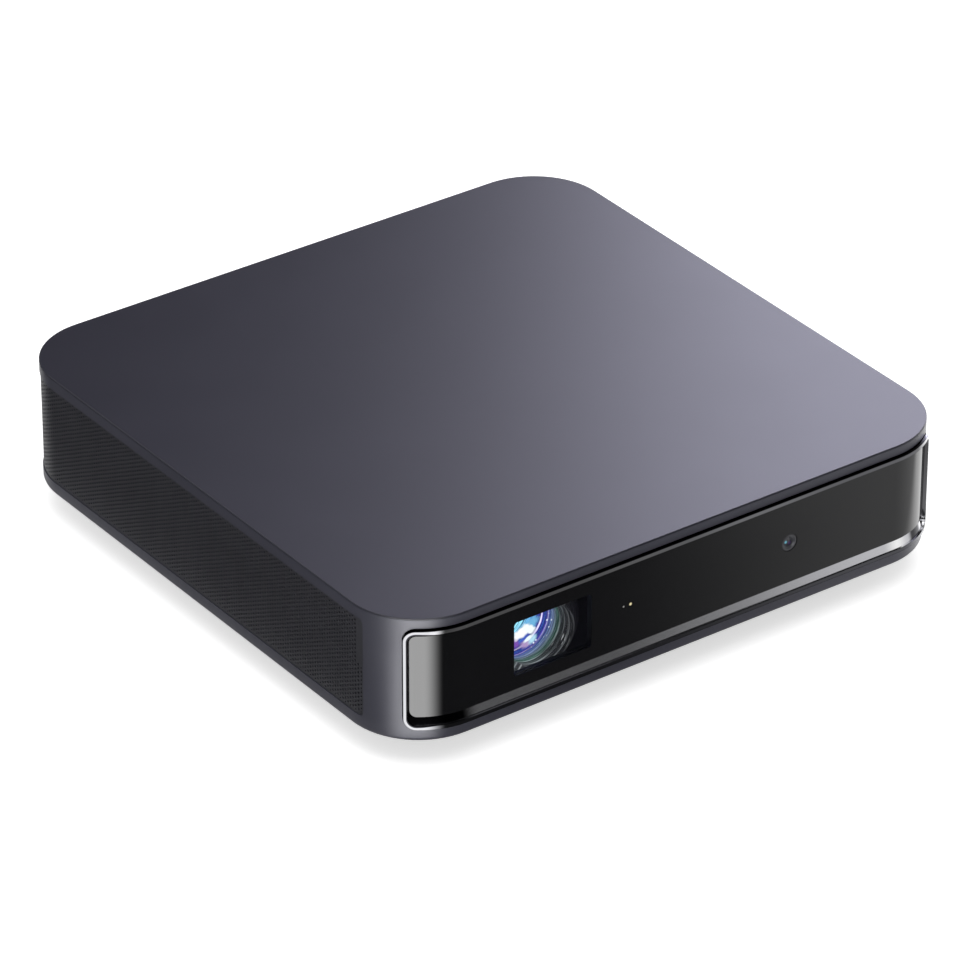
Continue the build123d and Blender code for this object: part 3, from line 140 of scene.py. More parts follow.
class Graph:
    """A shader or geometry node tree under construction."""

    def __init__(self, tree: bpy.types.NodeTree) -> None:
        """Wrap a node tree.

        Args:
            tree: The tree that nodes are added to.
        """
        self.tree = tree

    def feed(self, socket: bpy.types.NodeSocket, value: Any) -> None:
        """Set an input's value, or link a signal to it."""
        if isinstance(value, Signal):
            self.tree.links.new(value.socket, socket)
            return
        size = len(socket.default_value) if hasattr(socket.default_value, "__len__") else 0
        if size == 4 and len(value) == 3:
            value = (*value, 1.0)
        socket.default_value = value

    def dress(self, node: bpy.types.Node, values: Mapping[Union[int, str], Any]) -> None:
        """Feed several inputs of a node, by name or number."""
        for name, value in values.items():
            self.feed(node.inputs[name], value)

    def node(self, kind: str, settings: Optional[Mapping[str, Any]] = None,
             sockets: Optional[Mapping[Union[int, str], Any]] = None, out: Union[int, str] = 0) -> Signal:
        """Add a node, give it its settings and then its inputs.

        Args:
            kind: The node's type.
            settings: Its properties. The name stops gives a ramp's positions and colours.
            sockets: Values or signals for its inputs, by name or number.
            out: The output to return.

        Returns:
            The chosen output.
        """
        made = self.tree.nodes.new(kind)
        for name, value in (settings or {}).items():
            if name != "stops":
                setattr(made, name, value)
                continue
            elements = made.color_ramp.elements
            while len(elements) < len(value):
                elements.new(0.5)
            for element, (place, colour) in zip(elements, value):
                element.position = place
                element.color = (*colour, 1.0)
        self.dress(made, sockets or {})
        return Signal(self, made.outputs[out])

    def math(self, operation: str, *values: Operand) -> Signal:
        """Add a Math node.

        Args:
            operation: Its operation.
            values: Its inputs in order.

        Returns:
            Its result.
        """
        return self.node("ShaderNodeMath", {"operation": operation}, dict(enumerate(values)))

    def length(self, *values: Signal) -> Signal:
        """Return the square root of the sum of the values' squares."""
        return sum((value * value for value in values[1:]), values[0] * values[0]).math("SQRT")

    def vector(self, operation: str, *values: Any) -> Signal:
        """Add a Vector Math node and return its vector."""
        return self.node("ShaderNodeVectorMath", {"operation": operation}, dict(enumerate(values)))

    def join(self, x: Any, y: Any, z: Any) -> Signal:
        """Return the vector of three values."""
        return self.node("ShaderNodeCombineXYZ", {}, {0: x, 1: y, 2: z})

    def split(self, vector: Signal) -> tuple[Signal, Signal, Signal]:
        """Return a vector's three values."""
        x = self.node("ShaderNodeSeparateXYZ", {}, {0: vector}, "X")
        return x, x.pick("Y"), x.pick("Z")

    def tint(self, factor: Any, low: Any, high: Any, blend: str = "MIX") -> Signal:
        """Mix two colours.

        Args:
            factor: How much of the second colour shows.
            low: The first colour.
            high: The second colour.
            blend: The kind of mix.

        Returns:
            The mixed colour.
        """
        settings = {"data_type": "RGBA", "blend_type": blend, "clamp_result": False}
        return self.node("ShaderNodeMix", settings, {0: factor, 6: low, 7: high}, 2)

    def place(self, origin: Point = (0.0, 0.0, 0.0), stretch: Point = (1.0, 1.0, 1.0)) -> Signal:
        """Return Object coordinates in millimetres from an origin, stretched per axis.

        Args:
            origin: The origin in millimetres.
            stretch: What each axis is multiplied by after that.

        Returns:
            The coordinates.
        """
        raw = self.node("ShaderNodeTexCoord", out="Object")
        scaled = self.vector("MULTIPLY", raw, (1 / MM,) * 3)
        moved = self.vector("SUBTRACT", scaled, origin)
        return self.vector("MULTIPLY", moved, stretch)

    def noise(self, at: Signal, size: float, detail: float = 2.0, rough: float = 0.5) -> Signal:
        """Return smooth noise about 0.5 whose features are some millimetres wide."""
        return self.node("ShaderNodeTexNoise", {},
                         {"Vector": at, "Scale": 1.0 / size, "Detail": detail, "Roughness": rough})

    def cells(self, at: Signal, size: float, out: str = "Distance") -> Signal:
        """Return the distance or colour of cells that are some millimetres wide."""
        return self.node("ShaderNodeTexVoronoi", {}, {"Vector": at, "Scale": 1.0 / size}, out)

    def surface(self, shader: Signal) -> None:
        """End a material's tree with its surface."""
        sink = self.tree.nodes.new("ShaderNodeOutputMaterial")
        self.tree.links.new(shader.socket, sink.inputs["Surface"])


def stand(name: str, data: bpy.types.ID) -> bpy.types.Object:
    """Return a new object in the scene."""
    made = bpy.data.objects.new(name, data)
    bpy.context.scene.collection.objects.link(made)
    return made


def baked(carrier: bpy.types.Object) -> bpy.types.Mesh:
    """Return the mesh that an object's modifiers make, and remove the object."""
    graph = bpy.context.evaluated_depsgraph_get()
    mesh = bpy.data.meshes.new_from_object(carrier.evaluated_get(graph), depsgraph=graph)
    carrier.modifiers.clear()
    bpy.data.objects.remove(carrier)
    return mesh


def blank(name: str) -> tuple[bpy.types.Material, Graph]:
    """Return a new material and its empty tree."""
    material = bpy.data.materials.new(name)
    material.use_nodes = True
    material.node_tree.nodes.clear()
    return material, Graph(material.node_tree)


def box_mm(node: str) -> tuple[Point, Point]:
    """Return the low and high corners of a solid's box in millimetres."""
    low, high = (tuple(c / MM for c in corner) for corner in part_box(node))
    return low, high


class GeometryTree(Graph):
    """A Geometry Nodes group with named inputs, run once on an object."""

    def __init__(self, name: str) -> None:
        """Make an empty group.

        Args:
            name: The group's name.
        """
        super().__init__(bpy.data.node_groups.new(name, "GeometryNodeTree"))
        self.ids: dict[str, str] = {}
        self.entry("Geometry", "NodeSocketGeometry")
        self.tree.interface.new_socket(name="Geometry", in_out="OUTPUT", socket_type="NodeSocketGeometry")
        self.source = self.tree.nodes.new("NodeGroupInput")

    def entry(self, name: str, kind: str) -> None:
        """Add a named input of a socket type."""
        made = self.tree.interface.new_socket(name=name, in_out="INPUT", socket_type=kind)
        self.ids[name] = made.identifier

    def number(self, name: str) -> Signal:
        """Add a named number and return it."""
        self.entry(name, "NodeSocketFloat")
        return self.value(name)

    def value(self, name: str) -> Signal:
        """Return a named input inside the group."""
        return Signal(self, self.source.outputs[name])

    def close(self, result: Signal, finish: str = "Finish") -> None:
        """Realize the instances, set the material input on them and end the group."""
        self.entry(finish, "NodeSocketMaterial")
        solid = self.node("GeometryNodeRealizeInstances", {}, {0: result})
        solid = self.node("GeometryNodeSetMaterial", {}, {"Geometry": solid, "Material": self.value(finish)})
        sink = self.tree.nodes.new("NodeGroupOutput")
        self.tree.links.new(solid.socket, sink.inputs["Geometry"])

    def run(self, seed: bpy.types.Mesh, values: Mapping[str, Any], name: str) -> bpy.types.Mesh:
        """Run the group on a mesh and return the result as a plain mesh.

        Args:
            seed: The mesh that enters the group.
            values: The named inputs' values.
            name: The name of the new mesh.

        Returns:
            The finished mesh, with no modifier behind it.
        """
        carrier = stand(name + "_carrier", seed)
        modifier = carrier.modifiers.new("build", "NODES")
        modifier.node_group = self.tree
        for key, value in values.items():
            modifier[self.ids[key]] = value
        mesh = baked(carrier)
        mesh.name = name
        return mesh


@dataclass(frozen=True)
class Finish:
    """A plain moulded, painted or metal finish with mottle in its colour and grain on its face.

    Sizes are in millimetres. rough_spread is how far the roughness wanders either way.
    """

    name: str
    colour: Colour
    roughness: float = 0.5
    metallic: float = 0.0
    specular: float = 0.5
    coat: float = 0.0
    coat_roughness: float = 0.05
    coat_ior: float = 1.5
    ior: float = 1.45
    alpha: float = 1.0
    mottle: float = 0.12
    mottle_size: float = 6.0
    grain_size: float = 0.25
    grain_depth: float = 0.004
    rough_spread: float = 0.05
    slot: str = ""

    def build(self) -> bpy.types.Material:
        """Return the finish's material, made on first use."""
        made = bpy.data.materials.get(self.name + "_look")
        if made:
            return made
        material = bpy.data.materials.new(self.name + "_look")
        material.use_nodes = True
        material.diffuse_color = (*self.colour, 1.0)
        graph = Graph(material.node_tree)
        shader = material.node_tree.nodes["Principled BSDF"]
        graph.dress(shader, {
            "Base Color": self.colour, "Roughness": self.roughness, "Metallic": self.metallic,
            "Specular IOR Level": self.specular, "Coat Weight": self.coat, "Coat IOR": self.coat_ior,
            "Coat Roughness": self.coat_roughness, "IOR": self.ior, "Alpha": self.alpha})
        self.paint(graph, shader)
        return material

    def paint(self, graph: Graph, shader: bpy.types.Node) -> None:
        """Add what changes over the surface: mottled colour, wandering roughness and grain."""
        at = graph.place()
        self.mottled(graph, shader, at, graph.noise(at, self.mottle_size, 4.0))
        self.grained(graph, shader, graph.noise(at, self.grain_size, 2.0), self.grain_depth)

    def mottled(self, graph: Graph, shader: bpy.types.Node, at: Signal, cloud: Signal) -> None:
        """Let a cloud of noise lighten and darken the colour, and a finer one move the roughness."""
        dark = tuple(c * (1 - self.mottle) for c in self.colour)
        light = tuple(c * (1 + self.mottle) for c in self.colour)
        rub = graph.noise(at, self.mottle_size * 0.4, 3.0) - 0.5
        graph.dress(shader, {"Base Color": graph.tint(cloud.ramp(0.3, 0.7), dark, light),
                             "Roughness": (self.roughness + rub * 2 * self.rough_spread).clamp()})

    def grained(self, graph: Graph, shader: bpy.types.Node, height: Signal, depth: float) -> None:
        """Raise the surface by a height from 0 to 1, times a depth in millimetres."""
        sockets = {"Height": height, "Distance": depth * MM, "Strength": 1.0}
        graph.feed(shader.inputs["Normal"], graph.node("ShaderNodeBump", {}, sockets))


@dataclass(frozen=True)
class SatinPaint(Finish):
    """Fine satin paint on metal: a close pearl speck in the colour over a soft cloud."""

    speck: float = 0.35
    speck_size: float = 0.12

    def paint(self, graph: Graph, shader: bpy.types.Node) -> None:
        """Add the pearl speck, the cloud and the sprayed grain."""
        at = graph.place()
        cloud = graph.noise(at, self.mottle_size, 4.0)
        speck = graph.cells(at, self.speck_size, "Color")
        spark = graph.node("ShaderNodeSeparateColor", {}, {0: speck}).ramp(0.80, 1.0)
        mixed = (cloud * 0.6 + 0.2 + spark * self.speck).clamp()
        self.mottled(graph, shader, at, mixed)
        self.grained(graph, shader, graph.noise(at, self.grain_size, 3.0, 0.6), self.grain_depth)


@dataclass(frozen=True)
class BlackGlass(Finish):
    """Black glass with faint wiping marks and a few grains of dust."""

    wipe_stretch: Point = (0.35, 1.0, 1.6)
    wipe_size: float = 9.0
    dust_size: float = 1.9

    def paint(self, graph: Graph, shader: bpy.types.Node) -> None:
        """Let the marks and the dust change the roughness and lighten the black."""
        wipe = graph.noise(graph.place(stretch=self.wipe_stretch), self.wipe_size, 5.0, 0.6)
        dust = 1.0 - graph.cells(graph.place(), self.dust_size).ramp(0.02, 0.05)
        light = tuple(c + 0.006 for c in self.colour)
        graph.dress(shader, {
            "Roughness": (self.roughness + wipe * self.rough_spread + dust * 0.2).clamp(),
            "Base Color": graph.tint(dust * 0.6 + wipe * 0.2, self.colour, light)})
        self.grained(graph, shader, wipe, self.grain_depth)


@dataclass(frozen=True)
class DrawnMetal(Finish):
    """Metal with fine lines along one axis, as from polishing, drawing or rolling."""

    stretch: Point = (0.02, 1.0, 1.0)
    line_size: float = 0.12

    def lines(self, graph: Graph) -> Signal:
        """Return the lines, from 0 to 1."""
        return graph.noise(graph.place(stretch=self.stretch), self.line_size, 3.0, 0.6)

    def paint(self, graph: Graph, shader: bpy.types.Node) -> None:
        """Add the lines to colour, roughness and height."""
        at = graph.place()
        lines = self.lines(graph)
        cloud = graph.noise(at, self.mottle_size, 3.0)
        self.mottled(graph, shader, at, (cloud * 0.6 + lines * 0.4).clamp())
        self.grained(graph, shader, lines, self.grain_depth)


@dataclass(frozen=True)
class RingMetal(DrawnMetal):
    """Polished ring of the front band, whose reflections and shade are painted into its colours: lips with a
    painted reflection that darkens along the band, a chin with painted highlights, a channel painted black as
    the groove's shade.

    frame gives the ring's low and high edge, its reach along the casing from the middle and its corners'
    radius. round_x and corner say where the casing's own round starts and how large it is. line is how far
    in the lip's fine dark line of painted shade lies, and line_shift how much less that is beyond shift_at.
    lip_out and flange_out are distances out from the casing's face. Any other name in _at says between which
    places along X a colour comes in, one in _rise between which heights, and one in _spot where along X a
    patch of painted reflection lies and how wide it is, one bright and one dark. upper_at has the places of
    upper's three colours, the upper lip's painted reflection.
    """

    # The lip's colours paint its reflections: bright at the left of the upper lip, darker to the right and on
    # the lower lip, with painted shade at the right foot.
    upper: tuple[Colour, Colour, Colour] = ((0.98, 0.97, 1.0), (0.38, 0.38, 0.40), (0.14, 0.14, 0.15))
    lower: Colour = (0.09, 0.09, 0.10)
    left_end_reflection: Colour = (0.094, 0.094, 0.098)
    right_end_reflection: Colour = (0.40, 0.40, 0.42)
    right_foot_shade: Colour = (0.055, 0.055, 0.058)
    # A painted highlight on the chin's left part.
    chin_left_highlight: Colour = (0.96, 0.96, 1.0)
    # Near black painted into the groove behind the lip, as its shade.
    channel: Colour = (0.006, 0.006, 0.007)
    # Painted shade and dark reflection on the chin.
    painted_dark_patch: Colour = (0.05, 0.05, 0.055)
    # The inner wall at the right end is painted lighter, a painted reflection.
    right_wall_reflection: Colour = (0.20, 0.20, 0.21)
    frame: tuple[float, float, float, float] = (12.44, 44.0, 93.04, 3.5)
    round_x: float = 75.0
    corner: float = 22.5
    line: float = 1.14
    line_shift: float = 0.35
    lip_out: float = 0.80
    flange_out: float = -1.0
    upper_at: tuple[float, float, float] = (-38.0, 5.0, 62.0)
    lip_rise: Pair = (14.5, 30.0)
    right_at: Pair = (84.0, 91.0)
    foot_at: Pair = (86.0, 90.0)
    foot_rise: Pair = (20.5, 17.5)
    left_at: Pair = (-77.0, -87.0)
    shift_at: Pair = (-84.0, -89.0)
    wall_at: Pair = (84.0, 88.0)
    wall_rise: Pair = (16.1, 16.4)
    chin_at: Pair = (25.0, -25.0)
    chin_end_at: Pair = (-71.0, -76.5)
    seam_at: Pair = (50.0, 0.0)
    seam_rise: Pair = (13.85, 13.70)
    # Where along X the chin's painted white highlight and its painted dark reflection lie, and how wide.
    painted_highlight_spot: Pair = (76.0, 10.0)
    painted_dark_spot: Pair = (84.5, 9.0)

    def edge(self, graph: Graph, x: Signal, z: Signal, qx: Signal, depth: Signal) -> Signal:
        """Return how far in from the ring's outer edge a point lies, measured along the band.

        Args:
            graph: The tree.
            x: The point's place along X.
            z: Its height.
            qx: How far it lies beyond the start of the casing's round.
            depth: How far it lies in front of the round's centre.

        Returns:
            The distance in millimetres.
        """
        across = x.math("ABSOLUTE")
        turn = depth.math("ARCTAN2", across - self.round_x)
        bend = (qx > 0.0) * (math.pi / 2 - turn.math("MINIMUM", math.pi / 2)) * self.corner
        low, high, reach, rounding = self.frame
        span = across.math("MINIMUM", self.round_x) + bend
        sx = (span - (reach - rounding)).math("MAXIMUM", 0.0)
        sz = ((z - (low + high) / 2).math("ABSOLUTE") - ((high - low) / 2 - rounding)).math("MAXIMUM", 0.0)
        return rounding - graph.length(sx, sz)

    def lip(self, graph: Graph, x: Signal, z: Signal) -> Signal:
        """Return the lip's painted reflection along the band and by height."""
        left, middle, right = self.upper_at
        upper = graph.tint(x.ramp(middle, left), self.upper[1], self.upper[0])
        upper = graph.tint(x.ramp(middle, right), upper, self.upper[2])
        lip = graph.tint(z.ramp(*self.lip_rise), self.lower, upper)
        # Painted reflections at both ends and painted shade low at the right end.
        lip = graph.tint(x.ramp(*self.right_at), lip, self.right_end_reflection)
        lip = graph.tint(x.ramp(*self.foot_at) * z.ramp(*self.foot_rise), lip, self.right_foot_shade)
        return graph.tint(x.ramp(*self.left_at), lip, self.left_end_reflection)

    def chin(self, graph: Graph, x: Signal, z: Signal) -> Signal:
        """Return the chin's colour along the band with its painted highlight at the left, a dark seam of
        painted shade, and a painted highlight and a painted dark reflection at the right.
        """
        chin = graph.tint(x.ramp(*self.chin_at), self.colour, self.chin_left_highlight)
        # The chin's left end fades into the painted black of the groove's shade.
        chin = graph.tint(x.ramp(*self.chin_end_at), chin, self.channel)
        # A dark band of painted shade along the chin's lowest edge, toward the right.
        chin = graph.tint(z.ramp(*self.seam_rise) * x.ramp(*self.seam_at), chin, self.painted_dark_patch)
        # A painted white highlight and a painted dark reflection near the right end.
        chin = graph.tint(x.band(*self.painted_highlight_spot), chin, (1.0, 1.0, 1.0))
        return graph.tint(x.band(*self.painted_dark_spot).ramp(0.0, 0.7), chin, self.painted_dark_patch)

    def paint(self, graph: Graph, shader: bpy.types.Node) -> None:
        """Choose the colour by height, by distance out from the casing and by place along the band, painting
        in the ring's reflections and shade.
        """
        x, y, z = graph.split(graph.place())
        depth = 0.0 - y - self.round_x
        qx = (x.math("ABSOLUTE") - self.round_x).math("MAXIMUM", 0.0)
        out = graph.length(qx, depth.math("MAXIMUM", 0.0)) - self.corner
        edge = self.edge(graph, x, z, qx, depth)
        inward = self.line - x.ramp(*self.shift_at) * self.line_shift
        # The lip keeps its painted reflection only in a strip near its edge; beyond it the groove is painted
        # black as shade.
        line = edge.ramp(0.03, 0.13) * (edge - inward).ramp(0.07, -0.07)
        lip = graph.tint(line, self.channel, self.lip(graph, x, z))
        # The inner wall is painted black as shade, and lighter at the right end as a painted reflection.
        wall = graph.tint(x.ramp(*self.wall_at), self.channel, self.right_wall_reflection)
        inner = graph.tint(z.ramp(*self.wall_rise), self.chin(graph, x, z), wall)
        tone = graph.tint(out.ramp(self.lip_out + 0.1, self.lip_out), lip, inner)
        # The part set back behind the casing's face is painted black and rough, as shade.
        flange = out.ramp(self.flange_out, self.flange_out - 0.4)
        tone = graph.tint(flange, tone, self.channel)
        lines = self.lines(graph)
        rub = (lines - 0.5) * 2 * self.rough_spread + self.roughness
        graph.dress(shader, {
            "Base Color": graph.tint(lines * 0.12, tone, (0.0, 0.0, 0.0)),
            "Metallic": out.ramp(self.flange_out - 0.4, self.flange_out),
            "Roughness": (rub + flange * 0.5).clamp()})
        self.grained(graph, shader, lines, self.grain_depth)


@dataclass(frozen=True)
class SensorFace(Finish):
    """Black sensor with two small eyes painted on as glowing highlights, each given by its place along X and
    its radius.
    """

    high: float = 29.14
    eyes: tuple[tuple[float, float, Colour], ...] = (
        (-18.99, 0.55, (0.75, 0.66, 0.38)), (-21.39, 0.36, (0.26, 0.26, 0.25)))

    def paint(self, graph: Graph, shader: bpy.types.Node) -> None:
        """Paint each eye as a glowing highlight: a bright middle in a darker rim."""
        at = graph.place()
        x, _, z = graph.split(at)
        glow: Any = (0.0, 0.0, 0.0)
        # Each eye's glow is a painted highlight; the sensor is no lamp.
        for place, radius, colour in self.eyes:
            reach = graph.length(x - place, z - self.high)
            glow = graph.tint(reach.ramp(radius, radius * 0.55), glow, colour)
        grain = graph.noise(at, self.grain_size, 2.0)
        graph.dress(shader, {"Emission Strength": 1.0, "Emission Color": glow})
        self.mottled(graph, shader, at, grain)
        self.grained(graph, shader, grain, self.grain_depth)


@dataclass(frozen=True)
class PowerMark(SatinPaint):
    """Painted button with a printed ring and stroke, at a place on the rear."""

    at: Pair = (44.0, 20.1)
    ring: float = 1.7
    line: float = 0.36
    ink: Colour = (0.42, 0.42, 0.45)

    def paint(self, graph: Graph, shader: bpy.types.Node) -> None:
        """Lay the mark over the paint."""
        super().paint(graph, shader)
        x, y, z = graph.split(graph.place())
        u, v = x - self.at[0], z - self.at[1]
        reach = graph.length(u, v)
        gap = u.math("ABSOLUTE").ramp(0.75, 0.62) * (v > 0.0)
        circle = (reach - self.ring).math("ABSOLUTE").ramp(self.line, self.line * 0.5) * (1.0 - gap)
        stroke = u.math("ABSOLUTE").ramp(self.line, self.line * 0.5) * v.band(1.35, 2.3).ramp(0.0, 0.15)
        mark = circle.math("MAXIMUM", stroke) * (y > 97.0)
        under = shader.inputs["Base Color"].links[0].from_socket
        graph.feed(shader.inputs["Base Color"], graph.tint(mark, Signal(graph, under), self.ink))


@dataclass(frozen=True)
class SocketFace(DrawnMetal):
    """Socket whose shell is metal and whose mouth is black with gilt contacts.

    mouth gives the mouth's middle, width and height; wall is the shell's, and pitch spaces the contacts.
    """

    mouth: tuple[float, float, float, float] = (0.0, 0.0, 1.0, 1.0)
    wall: float = 0.12
    pitch: float = 0.5
    back: float = 96.6
    dark: Colour = (0.008, 0.008, 0.009)
    gilt: Colour = (0.80, 0.58, 0.24)

    def paint(self, graph: Graph, shader: bpy.types.Node) -> None:
        """Choose between shell, liner and contacts by place."""
        middle_x, middle_z, wide, tall = self.mouth
        x, y, z = graph.split(graph.place())
        inside = (x - middle_x).math("ABSOLUTE") < wide / 2 - self.wall
        inside = inside * ((z - middle_z).math("ABSOLUTE") < tall / 2 - self.wall) * (y < self.back)
        lines = self.lines(graph)
        contact = ((x - middle_x) / self.pitch).math("FRACT").band(0.5, 0.9).ramp(0.35, 0.6)
        liner = graph.tint(contact, self.dark, self.gilt)
        shell = graph.tint(lines, tuple(c * 0.8 for c in self.colour), self.colour)
        graph.dress(shader, {"Base Color": graph.tint(inside, shell, liner),
                             "Metallic": (1.0 - inside).math("MAXIMUM", contact)})
        self.grained(graph, shader, lines, self.grain_depth)


@dataclass(frozen=True)
class RoundSocket(Finish):
    """Black round socket with a metal collar just outside its bore and a bright pin or sleeve within."""

    at: Pair = (0.0, 0.0)
    bore: float = 1.8
    pin: float = 0.0
    metal: Colour = (0.62, 0.60, 0.56)

    def paint(self, graph: Graph, shader: bpy.types.Node) -> None:
        """Draw the collar, the sleeve and the pin by distance from the axis."""
        at = graph.place()
        x, y, z = graph.split(at)
        reach = graph.length(x - self.at[0], z - self.at[1])
        collar = reach.band(self.bore + 0.35, 0.9).ramp(0.15, 0.3) * (y > 96.0)
        pin = (reach < self.pin + 0.05) * (y < 96.4)
        shine = collar.math("MAXIMUM", pin)
        graph.dress(shader, {"Base Color": graph.tint(shine, self.colour, self.metal), "Metallic": shine,
                             "Roughness": (self.roughness - shine * 0.2).clamp()})
        self.grained(graph, shader, graph.noise(at, self.grain_size, 2.0), self.grain_depth)


@dataclass(frozen=True)
class LampTip(Finish):
    """Dark plastic parts among which one rod's tip glows."""

    at: Pair = (33.0, 20.1)
    radius: float = 1.0
    glow: Colour = (0.85, 0.92, 1.0)

    def paint(self, graph: Graph, shader: bpy.types.Node) -> None:
        """Light the tip, brighter in its middle."""
        super().paint(graph, shader)
        x, y, z = graph.split(graph.place())
        reach = graph.length(x - self.at[0], z - self.at[1])
        lit = reach.ramp(self.radius * 1.02, self.radius * 0.3) * (y > 93.0)
        glow = graph.tint(lit, (0.0, 0.0, 0.0), self.glow)
        graph.dress(shader, {"Emission Strength": 0.9, "Emission Color": glow})


@dataclass(frozen=True)
class TurnedMetal(Finish):
    """Metal or plastic turned on a lathe, with fine rings about an axis through a centre."""

    centre: Point = (0.0, 0.0, 0.0)
    axis: int = 2
    pitch: float = 0.25

    def paint(self, graph: Graph, shader: bpy.types.Node) -> None:
        """Add the rings to colour, roughness and height."""
        at = graph.place(self.centre)
        parts = list(graph.split(at))
        parts.pop(self.axis)
        radius = graph.node("ShaderNodeVectorMath", {"operation": "LENGTH"},
                            {0: graph.join(parts[0], parts[1], 0.0)}, "Value")
        wander = graph.noise(at, self.mottle_size, 2.0)
        rings = ((radius / self.pitch + wander * 1.5) * math.tau).math("SINE") * 0.5 + 0.5
        self.mottled(graph, shader, at, rings * 0.6 + wander * 0.4)
        self.grained(graph, shader, rings, self.grain_depth)


@dataclass(frozen=True)
class CircuitBoard(Finish):
    """Lacquered board with copper tracks, plated holes and pale pads."""

    track: Colour = (0.05, 0.27, 0.15)
    pad: Colour = (0.75, 0.62, 0.30)
    pad_pitch: float = 3.1
    track_pitch: Pair = (1.6, 2.3)
    bend_size: float = 14.0
    bends: Pair = (22.0, 30.0)

    def paint(self, graph: Graph, shader: bpy.types.Node) -> None:
        """Draw tracks on a grid that a slow noise bends, and pads where cells meet."""
        at = graph.place()
        x, y, z = graph.split(at)
        bend = graph.noise(graph.place(stretch=(1.0, 1.0, 0.2)), self.bend_size, 1.0)
        across = ((x + z + bend * self.bends[0]) / self.track_pitch[0]).math("FRACT").band(0.5, 0.55)
        along = ((y + bend * self.bends[1]) / self.track_pitch[1]).math("FRACT").band(0.5, 0.35)
        pads = 1.0 - graph.cells(at, self.pad_pitch).ramp(0.10, 0.14)
        tracks = across.math("MAXIMUM", along * 0.8)
        lacquer = graph.tint(tracks.ramp(0.3, 0.6), self.colour, self.track)
        graph.dress(shader, {"Base Color": graph.tint(pads, lacquer, self.pad), "Metallic": pads,
                             "Roughness": (self.roughness - pads * 0.1).clamp()})
        self.grained(graph, shader, tracks.math("MAXIMUM", pads), self.grain_depth)


@dataclass(frozen=True)
class PaintedGlint:
    """A painted highlight on a lens: a soft bright patch, as a turned oval in millimetres about the lens
    axis.
    """

    u: float
    v: float
    wide: float
    tall: float
    turn: float
    colour: Colour
    soft: float = 0.5


@dataclass(frozen=True)
class LensCoating(Finish):
    """Coated lens and ribbed tube with their reflections painted on as a glow, in rings that stand behind one
    another.

    The rings are circles of one radius, whose centres move from first to last as the ring's
    number goes from 0 to 1. stops colours them by that number, after it is pressed into 0 to 1. Each grain
    says how fast a noise changes with the number and with the angle about the ring's centre.
    """

    axis: Point = (-45.4, -90.0, 27.0)
    lean: Pair = (-0.727, 0.735)
    first: Pair = (-8.5, 5.9)
    last: Pair = (1.5, -2.5)
    radius: float = 9.9
    start: float = -0.6
    span: float = 2.0
    stops: tuple[tuple[float, Colour], ...] = ()
    glints: tuple[PaintedGlint, ...] = ()
    strength: float = 1.0
    streak_grain: Pair = (34.0, 1.1)
    wave_grain: Pair = (5.0, 1.6)
    comet_grain: Pair = (26.0, 3.2)
    comet_highlight_colour: Colour = (0.50, 0.52, 0.54)
    facet_size: float = 1.5
    star_scale: float = 0.62
    star_glint_colour: Colour = (0.80, 0.88, 1.0)

    def paint(self, graph: Graph, shader: bpy.types.Node) -> None:
        """Paint the reflections as a glow under the coat: the rings, their streaks, the bright patches, the
        comet streaks and the star glints.
        """
        x, y, z = graph.split(graph.place(self.axis))
        u = x + y * self.lean[0]
        v = z + y * self.lean[1]
        du, dv = self.last[0] - self.first[0], self.last[1] - self.first[1]
        step = du * du + dv * dv
        wu, wv = u - self.first[0], v - self.first[1]
        along = wu * du + wv * dv
        inside = along * along - (wu * wu + wv * wv - self.radius ** 2) * step
        number = (along - inside.math("MAXIMUM", 0.0).math("SQRT")) / step
        angle = (wv - number * dv).math("ARCTAN2", wu - number * du)

        def woven(grain: Pair, layer: float) -> Signal:
            """Return the place at which a noise is read, each noise in a layer of its own."""
            return graph.join(number * grain[0], angle * grain[1], layer)

        streak = graph.noise(woven(self.streak_grain, 0.0), 1.0, 3.0, 0.65)
        wave = graph.noise(woven(self.wave_grain, 3.0), 1.0, 2.0) - 0.5
        level = ((number + wave * 0.05 - self.start) / self.span).clamp()
        rings = graph.node("ShaderNodeValToRGB", {"stops": self.stops}, {0: level})
        # The lower left of the rings is painted brighter, a painted highlight.
        low_left = angle.ramp(-1.0, -1.5) * number.ramp(0.50, 0.62)
        lit = (streak.ramp(0.33, 0.67) * 1.5 + 0.25) * (1.0 + low_left * 2.6)
        glow = graph.tint(1.0, rings, graph.join(lit, lit, lit), "MULTIPLY")
        facet = graph.cells(graph.join(u, v, 0.0), self.facet_size) - 0.45
        # Each patch is a painted highlight.
        for patch in self.glints:
            c, s = math.cos(math.radians(patch.turn)), math.sin(math.radians(patch.turn))
            pu, pv = u - patch.u, v - patch.v
            a = ((pu * c + pv * s) / patch.wide).math("ABSOLUTE")
            b = ((pv * c - pu * s) / patch.tall).math("ABSOLUTE")
            reach = a.math("MAXIMUM", b) * 0.7 + (a + b) * 0.3 + facet * 0.5
            glow = graph.tint(reach.ramp(1.0 + patch.soft, 1.0 - patch.soft), glow, patch.colour)
        # Comet streaks: painted highlights on the outer rings toward the lower right.
        comet = graph.noise(woven(self.comet_grain, 7.0), 1.0, 1.0).ramp(0.61, 0.71)
        comet = comet * number.band(0.86, 0.60) * angle.band(-0.72, 0.90)
        glow = graph.tint((comet * 2.2).clamp(), glow, self.comet_highlight_colour)
        # Star glints: small painted highlights.
        stars = graph.node("ShaderNodeTexVoronoi", {"feature": "F1"},
                           {"Vector": graph.join(u, v, 0.0), "Scale": self.star_scale, "Randomness": 1.0})
        zone = number.band(0.16, 0.50).ramp(0.0, 0.3) * angle.band(-0.5, 2.2).ramp(0.0, 0.3)
        glow = graph.tint(stars.ramp(0.24, 0.10) * zone, glow, self.star_glint_colour)
        graph.dress(shader, {
            "Emission Strength": self.strength, "Emission Color": glow,
            "Base Color": graph.tint(streak, self.colour, (0.02, 0.02, 0.03)),
            "Roughness": (streak * self.rough_spread + self.roughness).clamp()})


